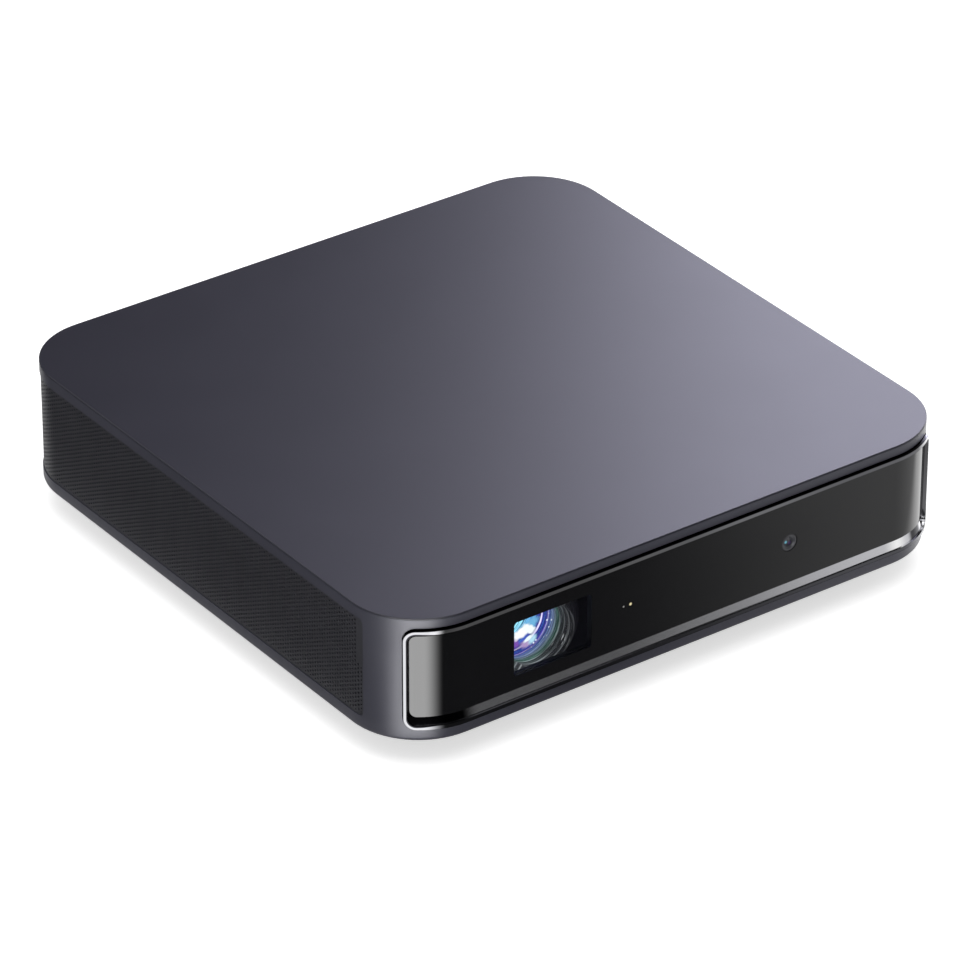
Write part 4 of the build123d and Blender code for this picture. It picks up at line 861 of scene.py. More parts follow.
@dataclass(frozen=True)
class EyeGlass(Finish):
    """A small camera lens whose look is painted as a glow: grey iris ring with a lighter wedge and a cyan
    spark of painted highlight, and a violet middle.
    """

    axis: Point = (36.8, -97.3, 29.1)
    lean: Pair = (-0.727, 0.735)
    outer: float = 2.7
    spark: Pair = (-1.25, 0.55)
    wedge_highlight_colour: Colour = (0.16, 0.16, 0.17)
    spark_highlight_colour: Colour = (0.16, 0.48, 0.60)

    def paint(self, graph: Graph, shader: bpy.types.Node) -> None:
        """Paint the glowing rings by distance from the eye's axis, and the highlight wedge by angle."""
        x, y, z = graph.split(graph.place(self.axis))
        u, v = x + y * self.lean[0], z + y * self.lean[1]
        reach = graph.length(u, v) / self.outer
        angle = v.math("ARCTAN2", u)
        # The rings are painted as a glow that stands in for the small lens's reflections.
        iris = graph.node("ShaderNodeValToRGB", {"stops": (
            (0.0, (0.05, 0.03, 0.09)), (0.16, (0.05, 0.03, 0.08)), (0.24, (0.022, 0.022, 0.028)),
            (0.34, (0.032, 0.033, 0.038)), (0.60, (0.048, 0.049, 0.054)), (0.84, (0.060, 0.060, 0.066)),
            (0.92, (0.020, 0.020, 0.022)), (1.0, (0.004, 0.004, 0.005)))}, {0: reach.clamp()})
        # A lighter wedge and a cyan spark: painted highlights.
        wedge = (angle.band(-0.6, 1.4) + angle.band(2.5, 0.9) * 0.6) * reach.band(0.60, 0.50)
        glow = graph.tint(wedge, iris, self.wedge_highlight_colour)
        spark = graph.length(u - self.spark[0], v - self.spark[1])
        glow = graph.tint(spark.ramp(0.62, 0.20), glow, self.spark_highlight_colour)
        grain = graph.noise(graph.place(), self.grain_size, 2.0)
        graph.dress(shader, {"Emission Strength": 0.8,
                             "Emission Color": graph.tint(grain * 0.2, glow, (0.0, 0.0, 0.0))})
        self.grained(graph, shader, grain, self.grain_depth)


@dataclass(frozen=True)
class StudioFloor(Finish):
    """Pale floor that the camera sees as white, with the object's soft shadow on it."""

    lift: float = 0.60
    fleck: float = 40.0

    def build(self) -> bpy.types.Material:
        """Return the floor's material."""
        material, graph = blank(self.name)
        grain = graph.noise(graph.place(), self.fleck, 3.0)
        tone = graph.tint(grain, tuple(c * 0.985 for c in self.colour), self.colour)
        paint = graph.node("ShaderNodeBsdfDiffuse", {}, {"Color": tone})
        seen = graph.node("ShaderNodeLightPath", out="Is Camera Ray")
        white = graph.node("ShaderNodeEmission", {}, {"Strength": seen * self.lift})
        graph.surface(graph.node("ShaderNodeAddShader", {}, {0: paint, 1: white}))
        return material


# Colours of the lens's painted reflections, by ring number.
LENS_RING_REFLECTIONS: tuple[tuple[float, Colour], ...] = (
    (0.00, (0.30, 0.75, 0.95)),
    (0.14, (0.08, 0.30, 0.62)),
    (0.22, (0.05, 0.10, 0.45)),
    (0.28, (0.03, 0.02, 0.22)),
    (0.293, (0.55, 0.50, 0.85)),
    (0.306, (0.70, 0.66, 0.95)),
    (0.318, (0.03, 0.03, 0.26)),
    (0.36, (0.02, 0.06, 0.26)),
    (0.395, (0.05, 0.03, 0.28)),
    (0.408, (0.42, 0.42, 0.72)),
    (0.420, (0.05, 0.06, 0.26)),
    (0.455, (0.07, 0.12, 0.26)),
    (0.480, (0.14, 0.19, 0.32)),
    (0.500, (0.06, 0.09, 0.18)),
    (0.520, (0.12, 0.17, 0.22)),
    (0.560, (0.03, 0.07, 0.06)),
    (0.590, (0.025, 0.055, 0.045)),
    (0.610, (0.10, 0.13, 0.13)),
    (0.625, (0.015, 0.018, 0.020)),
    (0.670, (0.025, 0.032, 0.032)),
    (0.690, (0.085, 0.095, 0.10)),
    (0.705, (0.010, 0.011, 0.013)),
    (0.755, (0.030, 0.033, 0.035)),
    (0.770, (0.13, 0.14, 0.145)),
    (0.785, (0.010, 0.011, 0.012)),
    (0.830, (0.012, 0.013, 0.014)),
    (0.845, (0.085, 0.09, 0.095)),
    (0.860, (0.005, 0.005, 0.006)),
    (1.00, (0.002, 0.002, 0.003)),
)

# Painted highlights on the front glass.
LENS_PAINTED_GLINTS = (
    PaintedGlint(-2.2, 2.8, 2.4, 1.9, 30.0, (0.16, 0.45, 0.72), 0.4),
    PaintedGlint(-4.2, -3.2, 1.8, 1.5, 10.0, (0.42, 0.30, 0.55), 0.4),
    PaintedGlint(-7.6, -1.8, 1.1, 1.6, 0.0, (0.20, 0.08, 0.42), 0.5),
    PaintedGlint(-1.9, -2.6, 1.6, 0.9, 40.0, (0.45, 0.75, 0.90), 0.5),
    PaintedGlint(-5.4, 0.9, 3.0, 1.7, 20.0, (1.0, 1.0, 1.0), 0.30),
    PaintedGlint(-3.2, 1.2, 2.6, 1.2, -35.0, (0.92, 1.0, 1.0), 0.35),
    PaintedGlint(-3.4, -1.9, 1.9, 0.7, 25.0, (0.85, 0.98, 1.0), 0.35),
)


class Looks(Enum):
    """Every finish of the projector, by what it is on."""

    BODY = SatinPaint("body_paint", (0.054, 0.054, 0.073), roughness=0.38,
                      mottle=0.08, mottle_size=30.0, grain_size=0.10, grain_depth=0.002, rough_spread=0.02)
    TOP = SatinPaint("top_paint", (0.020, 0.0195, 0.030), roughness=0.37,
                     mottle=0.05, mottle_size=45.0, grain_size=0.10, grain_depth=0.0015, rough_spread=0.015)
    GRILLE = SatinPaint("grille_metal", (0.040, 0.040, 0.047), roughness=0.38,
                        mottle=0.10, mottle_size=12.0, grain_size=0.08, grain_depth=0.002, rough_spread=0.04)
    RING = RingMetal("ring_metal", (0.62, 0.62, 0.65), roughness=0.10, metallic=1.0, grain_depth=0.00002,
                     rough_spread=0.02)
    PANEL = BlackGlass("panel_black", (0.0045, 0.0045, 0.0055), roughness=0.03, grain_depth=0.0006,
                       rough_spread=0.03)
    WINDOW = Finish("window_glass", (0.02, 0.02, 0.03), roughness=0.02, alpha=0.12,
                    grain_depth=0.0003, rough_spread=0.01)
    LENS = Finish("lens_glass", (0.02, 0.03, 0.08), roughness=0.03, specular=0.6, coat=1.0, coat_ior=1.8,
                  mottle=0.3, grain_depth=0.0003, rough_spread=0.01)
    LENS_TUBE = LensCoating("lens_tube", (0.006, 0.006, 0.007), roughness=0.30, specular=0.4,
                            rough_spread=0.10, slot="black_plastic", stops=LENS_RING_REFLECTIONS, strength=0.85)
    LENS_FRONT = LensCoating("lens_front", (0.006, 0.008, 0.02), roughness=0.04, coat=0.6,
                             coat_roughness=0.03, coat_ior=1.6, rough_spread=0.03, stops=LENS_RING_REFLECTIONS,
                             glints=LENS_PAINTED_GLINTS, strength=1.35, slot="lens_glass")
    EYE = EyeGlass("eye_glass", (0.008, 0.008, 0.010), roughness=0.10, grain_depth=0.0004)
    SENSOR = SensorFace("sensor_face", (0.010, 0.010, 0.011), roughness=0.35, grain_depth=0.002)
    BASE = Finish("base_plastic", (0.012, 0.012, 0.014), roughness=0.55, specular=0.35, grain_size=0.35,
                  grain_depth=0.012)
    SEAL = Finish("seal_rubber", (0.0020, 0.0020, 0.0024), roughness=0.55, specular=0.15, grain_size=0.2,
                  slot="foot_rubber", grain_depth=0.002, mottle=0.2)
    RUBBER = Finish("foot_rubber", (0.008, 0.008, 0.009), roughness=0.75, specular=0.3, grain_size=0.2,
                    grain_depth=0.01, mottle=0.2)
    BLACK = Finish("black_plastic", (0.010, 0.010, 0.011), roughness=0.45, specular=0.35, grain_size=0.3,
                   grain_depth=0.006)
    BRASS = TurnedMetal("brass", (0.72, 0.52, 0.22), roughness=0.28, metallic=1.0, grain_depth=0.004)
    STEEL = Finish("screw_steel", (0.22, 0.22, 0.23), roughness=0.34, metallic=1.0, mottle=0.25,
                   mottle_size=0.8, grain_size=0.15, grain_depth=0.003)
    GEAR = Finish("gear_plastic", (0.72, 0.70, 0.62), roughness=0.42, mottle=0.05, grain_depth=0.003)
    CAST = Finish("cast_metal", (0.45, 0.45, 0.46), roughness=0.52, metallic=1.0, mottle=0.18,
                  mottle_size=2.5, grain_size=0.5, grain_depth=0.03)
    FINS = DrawnMetal("fin_metal", (0.70, 0.70, 0.72), roughness=0.30, metallic=1.0, stretch=(1.0, 1.0, 0.03))
    COPPER = DrawnMetal("copper", (0.72, 0.33, 0.18), roughness=0.32, metallic=1.0, mottle=0.2,
                        stretch=(0.05, 1.0, 1.0))
    PHOSPHOR = TurnedMetal("phosphor", (0.78, 0.66, 0.06), roughness=0.6, mottle=0.15, axis=0, pitch=1.4,
                           centre=(-52.0, -0.6, 27.0), grain_depth=0.01)
    MIRROR = Finish("mirror", (0.75, 0.75, 0.80), roughness=0.06, metallic=1.0, mottle=0.06, grain_size=0.05,
                    grain_depth=0.0005)
    BOARD = CircuitBoard("board", (0.010, 0.085, 0.045), roughness=0.34, coat=0.4, grain_depth=0.02)
    CHIP = Finish("board_chip", (0.016, 0.016, 0.017), roughness=0.5, grain_size=0.12, grain_depth=0.006)
    BUTTON = PowerMark("button_paint", (0.054, 0.054, 0.073), roughness=0.38, mottle=0.08, mottle_size=30.0,
                       grain_size=0.10, grain_depth=0.002, rough_spread=0.02)
    LAMP = LampTip("power_parts_plastic", (0.012, 0.012, 0.014), roughness=0.45, grain_depth=0.006)
    HDMI = SocketFace("video_port", (0.50, 0.50, 0.52), roughness=0.26, metallic=1.0,
                      mouth=(-16.0, 17.2, 14.0, 4.5), pitch=1.0)
    USB = SocketFace("data_port", (0.50, 0.50, 0.52), roughness=0.26, metallic=1.0,
                     mouth=(4.0, 17.7, 12.5, 5.1), pitch=2.5)
    DC = RoundSocket("power_socket", (0.010, 0.010, 0.011), roughness=0.42, at=(-38.0, 19.7), bore=2.8,
                     pin=1.0, grain_depth=0.004)
    AUDIO = RoundSocket("audio_socket", (0.010, 0.010, 0.011), roughness=0.42, at=(20.0, 16.8), bore=1.8,
                        grain_depth=0.004)
    PORT = DrawnMetal("port_metal", (0.50, 0.50, 0.52), roughness=0.26, metallic=1.0, mottle=0.12)
    BOX = Finish("speaker_box", (0.012, 0.012, 0.012), roughness=0.6, grain_size=0.6, grain_depth=0.02)
    MAGNET = Finish("magnet", (0.16, 0.16, 0.17), roughness=0.42, metallic=1.0, mottle=0.2, mottle_size=3.0)
    CONE = Finish("cone_paper", (0.022, 0.021, 0.020), roughness=0.85, grain_size=0.18, grain_depth=0.03,
                  mottle=0.35, mottle_size=0.9)
    FILM = DrawnMetal("ribbon", (0.60, 0.59, 0.54), roughness=0.4, stretch=(4.0, 0.05, 1.0), mottle=0.2,
                      line_size=0.5)


NODE_LOOKS: dict[Looks, tuple[str, ...]] = {
    Looks.BODY: ("side_frame",),
    Looks.BUTTON: ("power_button",),
    Looks.LAMP: ("power_parts",),
    Looks.HDMI: ("hdmi_port",),
    Looks.USB: ("usb_port",),
    Looks.DC: ("dc_jack",),
    Looks.AUDIO: ("audio_jack",),
    Looks.TOP: ("top_cover",),
    Looks.BASE: ("base_plate", "base_plinth", "rear_panel"),
    Looks.RUBBER: ("rubber_feet",),
    Looks.SEAL: ("window_seal",),
    Looks.BRASS: ("tripod_nut", "focus_pinion"),
    Looks.STEEL: ("casing_screws", "plinth_screws", "gear_clip", "board_screws"),
    Looks.GRILLE: ("grille_left", "grille_right"),
    Looks.RING: ("bezel_ring",),
    Looks.PANEL: ("front_panel",),
    Looks.WINDOW: ("lens_window",),
    Looks.EYE: ("camera_module", "camera_lens"),
    Looks.SENSOR: ("depth_sensor",),
    Looks.LENS_TUBE: ("focus_barrel",),
    Looks.BLACK: ("lens_barrel", "blower_housing", "blower_lid", "blower_rotor", "intake_fan_frame",
                  "intake_fan_rotor"),
    Looks.LENS: ("front_glass", "inner_glass", "prism", "relay_lenses"),
    Looks.GEAR: ("focus_gear",),
    Looks.CAST: ("focus_motor", "engine_housing", "engine_lid", "wheel_motor"),
    Looks.MIRROR: ("mirror_chip",),
    Looks.BOARD: ("chip_board", "main_board"),
    Looks.PHOSPHOR: ("phosphor_wheel",),
    Looks.COPPER: ("laser_module", "cold_plate", "heat_pipes"),
    Looks.FINS: ("heat_sink",),
    Looks.BOX: ("speaker_box_left", "speaker_box_right"),
    Looks.MAGNET: ("speaker_driver_left", "speaker_driver_right"),
    Looks.CONE: ("speaker_cone_left", "speaker_cone_right"),
    Looks.PORT: ("processor_shield",),
    Looks.CHIP: ("board_parts",),
    Looks.FILM: ("ribbon_cable",),
}


def add_piece(mesh: bpy.types.Mesh, look: Looks, body: str, replaces: Sequence[str] = (),
              smooth: float = 35.0) -> bpy.types.Object:
    """Put a mesh in the scene as a piece that rides on a body.

    Args:
        mesh: The mesh, in metres, in the frame's own place.
        look: Its finish.
        body: The body that it rides on.
        replaces: The solids that it stands for.
        smooth: Edges flatter than this many degrees are shaded smooth.

    Returns:
        The piece.
    """
    mesh.materials.clear()
    mesh.materials.append(look.value.build())
    mesh.shade_smooth()
    mesh.set_sharp_from_angle(angle=math.radians(smooth))
    piece = stand(mesh.name, mesh)
    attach(piece, body)
    look.value.slot or look.value.name
    if replaces:
        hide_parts(*replaces)
    LOG.info("%s: %d faces on %s", mesh.name, len(mesh.polygons), body)
    return piece


def mesh_of(name: str, points: Iterable[Point], faces: Iterable[Sequence[int]]) -> bpy.types.Mesh:
    """Return a mesh from points in millimetres and faces."""
    mesh = bpy.data.meshes.new(name)
    mesh.from_pydata([tuple(c * MM for c in p) for p in points], [], list(faces))
    mesh.update()
    return mesh


def sealed(mesh: bpy.types.Mesh, join: float = 0.0) -> bpy.types.Mesh:
    """Join a mesh's corners that are closer than some millimetres and turn its faces outward."""
    shape = bmesh.new()
    shape.from_mesh(mesh)
    if join:
        bmesh.ops.remove_doubles(shape, verts=shape.verts, dist=join * MM)
    bmesh.ops.recalc_face_normals(shape, faces=shape.faces)
    shape.to_mesh(mesh)
    shape.free()
    return mesh


def turned(profile: Sequence[Pair], steps: int) -> tuple[list[Point], list[Sequence[int]]]:
    """Return the points and faces of a closed profile of (radius, height) turned about Z.

    Args:
        profile: Corners in order, with the solid on the left, each radius at least CORE.
        steps: How many steps make a turn.

    Returns:
        The points and the faces.
    """
    points: list[Point] = []
    faces: list[Sequence[int]] = []
    count = len(profile)
    for i in range(steps):
        angle = math.tau * i / steps
        points += [(r * math.cos(angle), r * math.sin(angle), h) for r, h in profile]
        here, after = i * count, (i + 1) % steps * count
        pairs = [(j, (j + 1) % count) for j in range(count)]
        faces += [(here + j, after + j, after + k, here + k) for j, k in pairs]
    return points, faces


@dataclass
class Grilles:
    """The two perforated side sheets, each wrapped round its rear corner. Sizes in millimetres."""

    half: float = 97.2
    corner: float = 22.2
    front_angle: float = 77.95
    rear_end: float = -70.1
    low: float = 12.45
    high: float = 43.65
    thick: float = 0.7
    round: float = 1.65
    columns: int = 161
    rows: int = 23
    pitch_along: float = 1.2045
    pitch_up: float = 1.313
    start_up: float = 12.72
    hole: float = 0.4
    edge_hole: float = 0.29
    plain_columns: int = 2
    plain_above: float = 29.0
    front_steps: int = 12
    rear_steps: int = 90
    join: float = 0.02

    def path(self) -> tuple[list[Point], float]:
        """Return the left sheet's line in plan, from its front end, and its length."""
        side = self.half - self.corner
        points: list[Point] = []
        for i in range(self.front_steps + 1):
            angle = math.radians(self.front_angle + (90 - self.front_angle) * i / self.front_steps)
            points.append((-side - self.corner * math.sin(angle), -side - self.corner * math.cos(angle), 0))
        for i in range(self.rear_steps + 1):
            angle = math.radians(90 * i / self.rear_steps)
            points.append((-side - self.corner * math.cos(angle), side + self.corner * math.sin(angle), 0))
        points.append((self.rear_end, self.half, 0))
        length = sum(math.dist(a, b) for a, b in zip(points, points[1:]))
        return points, length

    def tile(self, name: str, radius: float) -> bpy.types.Object:
        """Return one cell of the sheet, with a hole of a radius or none.

        Args:
            name: The cell's name, whose order among the cells is its number.
            radius: The hole's radius, or 0 for a plain cell.

        Returns:
            The cell, which stands for one pitch each way.
        """
        a, u = self.pitch_along / 2, self.pitch_up / 2
        rim = [(a, 0), (a, u), (0, u), (-a, u), (-a, 0), (-a, -u), (0, -u), (a, -u)]
        points: list[Point] = []
        for depth in (0.0, self.thick):
            points += [(x, depth, z) for x, z in rim]
        faces: list[Sequence[int]] = []
        turns = [math.radians(45 * i) for i in range(8)]
        if radius:
            for depth in (0.0, self.thick):
                points += [(radius * math.cos(turn), depth, radius * math.sin(turn)) for turn in turns]
        else:
            points += [(0, 0, 0), (0, self.thick, 0)]
        for i in range(8):
            j = (i + 1) % 8
            if radius:
                faces += [(i, 16 + i, 16 + j, j), (8 + j, 24 + j, 24 + i, 8 + i)]
                faces.append((16 + i, 24 + i, 24 + j, 16 + j))
            else:
                faces += [(i, 16, j), (8 + j, 17, 8 + i)]
        return bpy.data.objects.new(name, mesh_of(name, points, faces))

    def border(self, length: float) -> bpy.types.Mesh:
        """Return the flat strip round the perforated field, with a corner at each cell's corner.

        Args:
            length: The sheet's length.

        Returns:
            The closed strip, whose inner edge meets the cells.
        """
        a, u = self.pitch_along, self.pitch_up
        margin = (length - self.columns * a) / 2
        points: list[Point] = []
        faces: list[Sequence[int]] = []

        def wall(line: Sequence[Pair]) -> None:
            """Add a flat plate of these corners, front and back, with no edges."""
            first, count = len(points), len(line)
            points.extend((x, depth, z) for depth in (0.0, self.thick) for x, z in line)
            faces.append(tuple(range(first, first + count)))
            faces.append(tuple(range(first + 2 * count - 1, first + count - 1, -1)))

        def edge(p: Pair, q: Pair) -> None:
            """Add the sheet's edge between two corners."""
            first = len(points)
            points.extend([(p[0], 0.0, p[1]), (q[0], 0.0, q[1])])
            points.extend([(q[0], self.thick, q[1]), (p[0], self.thick, p[1])])
            faces.append((first, first + 3, first + 2, first + 1))

        top = self.start_up + (self.rows + 0.5) * u
        for c in range(self.columns):
            for k in range(2):
                x0 = margin + (c + k / 2) * a
                x1 = x0 + a / 2
                low = self.start_up + (c % 2) * u / 2
                high = low + self.rows * u
                wall([(x0, self.low), (x1, self.low), (x1, self.start_up), (x0, self.start_up)])
                wall([(x0, top), (x1, top), (x1, self.high), (x0, self.high)])
                if c % 2:
                    wall([(x0, self.start_up), (x1, self.start_up), (x1, low), (x0, low)])
                else:
                    wall([(x0, high), (x1, high), (x1, top), (x0, top)])
                edge((x0, self.low), (x1, self.low))
                edge((x1, self.high), (x0, self.high))
        levels = [self.low] + [self.start_up + i * u / 2 for i in range(2 * self.rows + 2)] + [self.high]
        for x0, x1 in ((0.0, margin), (length - margin, length)):
            for z0, z1 in zip(levels, levels[1:]):
                wall([(x0, z0), (x1, z0), (x1, z1), (x0, z1)])
                if x0 == 0.0:
                    edge((x0, z1), (x0, z0))
                else:
                    edge((x1, z0), (x1, z1))
        return mesh_of("grille_border", points, faces)

    def tree(self) -> GeometryTree:
        """Return the group that fills the field with cells and wraps the sheet round its path."""
        tree = GeometryTree("perforated_wrap")
        names = ("Columns", "Rows", "Pitch Along", "Pitch Up", "Margin", "Start Up", "Length", "Low", "High",
                 "Corner", "Plain Columns", "Plain Above")
        columns, rows, along, up, margin, start, length, low, high, corner, plain_columns, plain_above = (
            tree.number(name) for name in names)
        tree.entry("Cells", "NodeSocketCollection")
        tree.entry("Path", "NodeSocketObject")

        index = tree.node("GeometryNodeInputIndex")
        column = (index / rows + 0.0001).math("FLOOR")
        row = index - column * rows
        odd = column % 2.0
        x = margin + (column + 0.5) * along
        z = start + (row + 0.5) * up + odd * up * 0.5
        spots = tree.node("GeometryNodePoints", {},
                          {"Count": columns * rows, "Position": tree.join(x, 0.0, z)})
        bottom = (row < 0.5) * (1.0 - odd)
        top = (row > rows - 1.5) * odd
        ends = (column < 0.5).math("MAXIMUM", column > columns - 1.5)
        small = bottom.math("MAXIMUM", top).math("MAXIMUM", ends)
        plain = (column < plain_columns - 0.5) * (z > plain_above)
        kind = (2.0 - small) * (1.0 - plain)
        cells = tree.node("GeometryNodeCollectionInfo", {}, {
            "Collection": tree.value("Cells"), "Separate Children": True, "Reset Children": True})
        field = tree.node("GeometryNodeInstanceOnPoints", {}, {
            "Points": spots, "Instance": cells, "Pick Instance": True, "Instance Index": kind})
        solid = tree.node("GeometryNodeRealizeInstances", {}, {0: field})
        sheet = tree.tree.nodes.new("GeometryNodeJoinGeometry")
        for part in (tree.value("Geometry"), solid):
            tree.tree.links.new(part.socket, sheet.inputs[0])
        welded = tree.node("GeometryNodeMergeByDistance", {}, {
            "Geometry": Signal(tree, sheet.outputs[0]), "Distance": self.join * MM})

        at = tree.node("GeometryNodeInputPosition")
        s, depth, h = tree.split(at)
        ds = (corner - s).math("MAXIMUM", 0.0) - (s - length + corner).math("MAXIMUM", 0.0)
        dh = (low + corner - h).math("MAXIMUM", 0.0) - (h - high + corner).math("MAXIMUM", 0.0)
        squeeze = ds.math("ABSOLUTE").math("MAXIMUM", dh.math("ABSOLUTE")) / (tree.length(ds, dh) + 1e-9)
        pinched = (ds.math("ABSOLUTE") * dh.math("ABSOLUTE")) > 1e-12
        squeeze = 1.0 + (squeeze - 1.0) * pinched
        s_new = s + ds * (1.0 - squeeze)
        h_new = h + dh * (1.0 - squeeze)
        line = tree.node("GeometryNodeObjectInfo", {}, {"Object": tree.value("Path")}, "Geometry")
        sample = tree.node("GeometryNodeSampleCurve", {"mode": "LENGTH"},
                           {"Curves": line, "Length": s_new}, "Position")
        inward = tree.vector("CROSS_PRODUCT", sample.pick("Tangent"), (0.0, 0.0, 1.0))
        set_in = tree.node("ShaderNodeVectorMath", {"operation": "SCALE"}, {0: inward, "Scale": depth})
        place = tree.vector("ADD", tree.vector("ADD", sample, set_in), tree.join(0.0, 0.0, h_new))
        wrapped = tree.node("GeometryNodeSetPosition", {}, {"Geometry": welded, "Position": place})
        tree.close(tree.node("GeometryNodeFlipFaces", {}, {"Mesh": wrapped}))
        return tree

    def build(self) -> None:
        """Make both sheets and put them in place of their solids."""
        points, length = self.path()
        curve = bpy.data.curves.new("grille_path", "CURVE")
        curve.dimensions = "3D"
        spline = curve.splines.new("POLY")
        spline.points.add(len(points) - 1)
        for spot, point in zip(spline.points, points):
            spot.co = (*(c * MM for c in point), 1.0)
        path = stand("grille_path", curve)
        cells = bpy.data.collections.new("grille_cells")
        bpy.context.scene.collection.children.link(cells)
        made = [self.tile("cell_a_plain", 0.0), self.tile("cell_b_small", self.edge_hole),
                self.tile("cell_c_full", self.hole)]
        for cell in made:
            cells.objects.link(cell)
        sizes = {
            "Pitch Along": self.pitch_along, "Pitch Up": self.pitch_up, "Start Up": self.start_up,
            "Margin": (length - self.columns * self.pitch_along) / 2, "Length": length, "Low": self.low,
            "High": self.high, "Corner": self.round, "Plain Above": self.plain_above}
        values = {name: size * MM for name, size in sizes.items()} | {
            "Columns": float(self.columns), "Rows": float(self.rows), "Cells": cells, "Path": path,
            "Plain Columns": float(self.plain_columns), "Finish": Looks.GRILLE.value.build()}
        left = self.tree().run(self.border(length), values, "grille_mesh_left")
        right = left.copy()
        right.name = "grille_mesh_right"
        right.transform(Matrix.Scale(-1.0, 4, (1.0, 0.0, 0.0)))
        right.flip_normals()
        for cell in made:
            bpy.data.objects.remove(cell)
        bpy.data.collections.remove(cells)
        bpy.data.objects.remove(path)
        add_piece(left, Looks.GRILLE, CASING, ["grille_left"])
        add_piece(right, Looks.GRILLE, CASING, ["grille_right"])


@dataclass
class Lens:
    """The projector's moving front lens: domed glass in a ribbed tube. Sizes in millimetres."""

    x: float = -45.4
    z: float = 27.0
    apex: float = -89.0
    radius: float = 12.9
    bulge: float = 3.0
    mouth: float = -89.9
    rib_back: float = -87.2
    rib_step: Pair = (0.30, 0.42)
    rib_rise: Pair = (0.26, 0.34)
    rib_nose: Pair = (0.12, 0.24)
    rim: float = 0.35
    last_rib: float = 0.55
    dome_steps: int = 24
    steps: int = 96

    def along(self, points: Iterable[Point]) -> list[Point]:
        """Turn points about Z into points about the lens axis, heights running into the tube."""
        return [(self.x + px, h, self.z - py) for px, py, h in points]

    def glass(self) -> bpy.types.Mesh:
        """Return the domed glass as a closed turned solid."""
        back = box_mm("front_glass")[1][1]
        ball = (self.radius ** 2 + self.bulge ** 2) / (2 * self.bulge)
        profile: list[Pair] = [(CORE, back)]
        for i in range(self.dome_steps + 1):
            r = max(CORE, self.radius * i / self.dome_steps)
            profile.append((r, self.apex + ball - math.sqrt(ball ** 2 - r ** 2)))
        profile.append((self.radius, back))
        points, faces = turned(profile[::-1], self.steps)
        return mesh_of("lens_glass_dome", self.along(points), faces)

    def tube(self) -> bpy.types.Mesh:
        """Return the ribbed ring in front of the glass's rim, as a closed turned solid."""
        profile = [(self.radius, self.rib_back), (self.radius, self.mouth)]
        r, h = self.radius - self.rim, self.mouth
        rise, top = self.rib_rise
        while h < self.rib_back - self.last_rib:
            profile += [(r, h), (r, h + rise)] + [(r - nose, h + top) for nose in self.rib_nose]
            r -= self.rib_step[0]
            h += self.rib_step[1]
        profile.append((r, self.rib_back))
        points, faces = turned(profile[::-1], self.steps)
        return mesh_of("lens_ribs", self.along(points), faces)

    def build(self) -> None:
        """Add the glass and the ribs."""
        add_piece(self.glass(), Looks.LENS_FRONT, LENS_BODY, ["front_glass"], 60.0)
        add_piece(self.tube(), Looks.LENS_TUBE, LENS_BODY, (), 20.0)


@dataclass
class Window:
    """Gasket behind the window, opened toward the lens's reflections. Sizes in millimetres."""

    opening: tuple[float, float, float, float] = (-12.9, 14.5, -9.9, 8.3)
    corner: float = 1.2
    outer_corner: float = 2.0
    thick: float = 1.3
    steps: int = 6

    def loop(self, x0: float, x1: float, z0: float, z1: float, corner: float) -> list[Pair]:
        """Return the corners of a rounded rectangle."""
        line: list[Pair] = []
        for k, (cx, cz) in enumerate(((x1, z1), (x0, z1), (x0, z0), (x1, z0))):
            cx += -corner if cx == x1 else corner
            cz += -corner if cz == z1 else corner
            for i in range(self.steps + 1):
                angle = math.radians(90 * (k + i / self.steps))
                line.append((cx + corner * math.cos(angle), cz + corner * math.sin(angle)))
        return line

    def build(self) -> None:
        """Put the gasket in place of its solid."""
        low, high = box_mm("window_seal")
        x, z = (low[0] + high[0]) / 2, (low[2] + high[2]) / 2
        outer = self.loop(low[0], high[0], low[2], high[2], self.outer_corner)
        x0, x1, z0, z1 = self.opening
        inner = self.loop(x + x0, x + x1, z + z0, z + z1, self.corner)
        count = len(outer)
        points = [(px, y, pz) for y in (high[1] - self.thick, high[1]) for loop in (outer, inner)
                  for px, pz in loop]
        faces: list[Sequence[int]] = []
        for i in range(count):
            a, b, c, d = (i + count * k for k in range(4))
            e, f, g, h = ((i + 1) % count + count * k for k in range(4))
            faces += [(a, b, f, e), (c, g, h, d), (a, e, g, c), (b, d, h, f)]
        mesh = sealed(mesh_of("window_gasket", points, faces))
        add_piece(mesh, Looks.SEAL, CASING, ["window_seal"])


